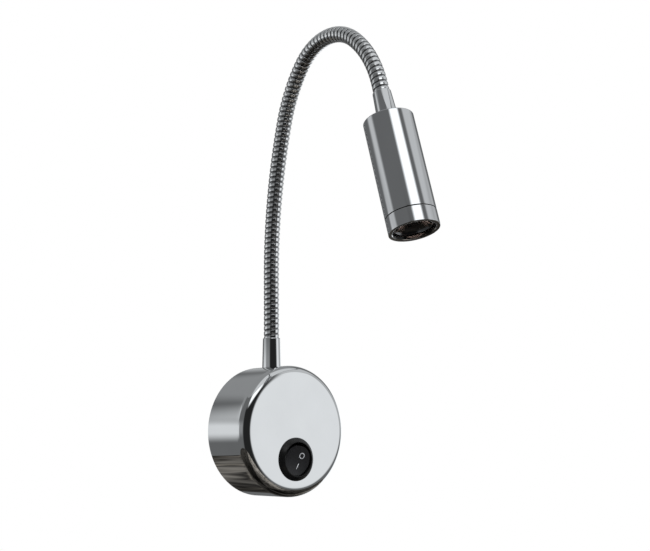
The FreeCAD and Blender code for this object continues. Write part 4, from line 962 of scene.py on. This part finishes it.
def makeRocker(size):
    rimLevel = size["pivot"] + size["rim"]
    skirtLevel = rimLevel - size["skirt"]
    dishRadius = dishCurve(size)
    rocker = lathe("switchRocker", [
        (0.5, skirtLevel), (size["rocker"], skirtLevel), (size["rocker"], rimLevel),
        (0.5, rimLevel)], steps=96, open=True)
    across = Matrix.Translation((0, 0, (rimLevel - size["dish"] + dishRadius) * mm)) \
        @ Matrix.Rotation(math.radians(90), 4, "Y")
    cutWith(rocker, rod(dishRadius, -12, 12, across, steps=256))
    soften = rocker.modifiers.new("soften", "BEVEL")
    soften.width = size["rimEdge"] * mm
    soften.segments = 3
    soften.limit_method = "ANGLE"
    soften.angle_limit = math.radians(50)
    bpy.ops.object.modifier_apply(modifier=soften.name)
    webTop = skirtLevel + size["dish"] / 2
    webFoot = size["pivot"] - size["webDepth"]
    web = block((size["web"][0], size["web"][1], webTop - webFoot),
                Matrix.Translation((0, 0, (webTop + webFoot) / 2 * mm)))
    cutWith(rocker, web, "UNION")
    cutWith(rocker, rod(size["boss"], size["pivot"] - size["bossDepth"], webFoot + 0.5), "UNION")
    cutWith(rocker, rod(size["pin"], -size["pinReach"], size["pinReach"],
                        Matrix.Rotation(math.radians(90), 4, "Y"), steps=48), "UNION")
    cutWith(rocker, rod(size["bore"], -size["bossDepth"], size["pivot"] - size["boreTop"]))
    return rocker


housing = makeHousing(switchSize)
settle(housing, switchPlace, "switchPlastic", "base", "switch_black", "switch_housing")
rocker = makeRocker(switchSize)
settle(rocker, rockerPlace, "rockerPlastic", "rocker", "rocker_black", "switch_rocker")


# ---- the switch's marks, pale inlays in the dish: a ring at the off end, a bar at the on end
marks = {"depth": 0.12, "proud": 0.03, "ringPlace": (1.3, 3.5), "ringSize": 1.4, "line": 0.2,
         "barPlace": (1.9, -2.5), "barLength": 3.3, "soften": 0.06}


def dishLevel(y):
    size = switchSize
    dishRadius = dishCurve(size)
    rise = dishRadius - math.sqrt(dishRadius ** 2 - y ** 2)
    return size["pivot"] + size["rim"] - size["dish"] + rise


def inlay(obj):
    # Lays a flat mark's points in the dished face.
    for v in obj.data.vertices:
        v.co.z += dishLevel(v.co.y / mm) * mm
    settle(obj, rockerPlace, "markPaint", "rocker", "rocker_black", "switch_rocker")


offMark = lathe("offMark", [
    (marks["ringSize"] - marks["line"], -marks["depth"]),
    (marks["ringSize"] + marks["line"], -marks["depth"]),
    (marks["ringSize"] + marks["line"], marks["proud"]),
    (marks["ringSize"] - marks["line"], marks["proud"])], steps=48)
for v in offMark.data.vertices:
    v.co += Vector((*marks["ringPlace"], 0)) * mm
inlay(offMark)
barSpot = Vector((*marks["barPlace"], (marks["proud"] - marks["depth"]) / 2)) * mm
onMark = block((2 * marks["line"], marks["barLength"], marks["depth"] + marks["proud"]),
               Matrix.Translation(barSpot))
onMark.name = "onMark"
beginEdit("EDGE")
bpy.ops.mesh.select_all(action="SELECT")
bpy.ops.mesh.bevel(offset=marks["soften"] * mm, segments=2, affect="EDGES")
endEdit()
inlay(onMark)
print("switch made")

# ---- the last line
print("all pieces made")
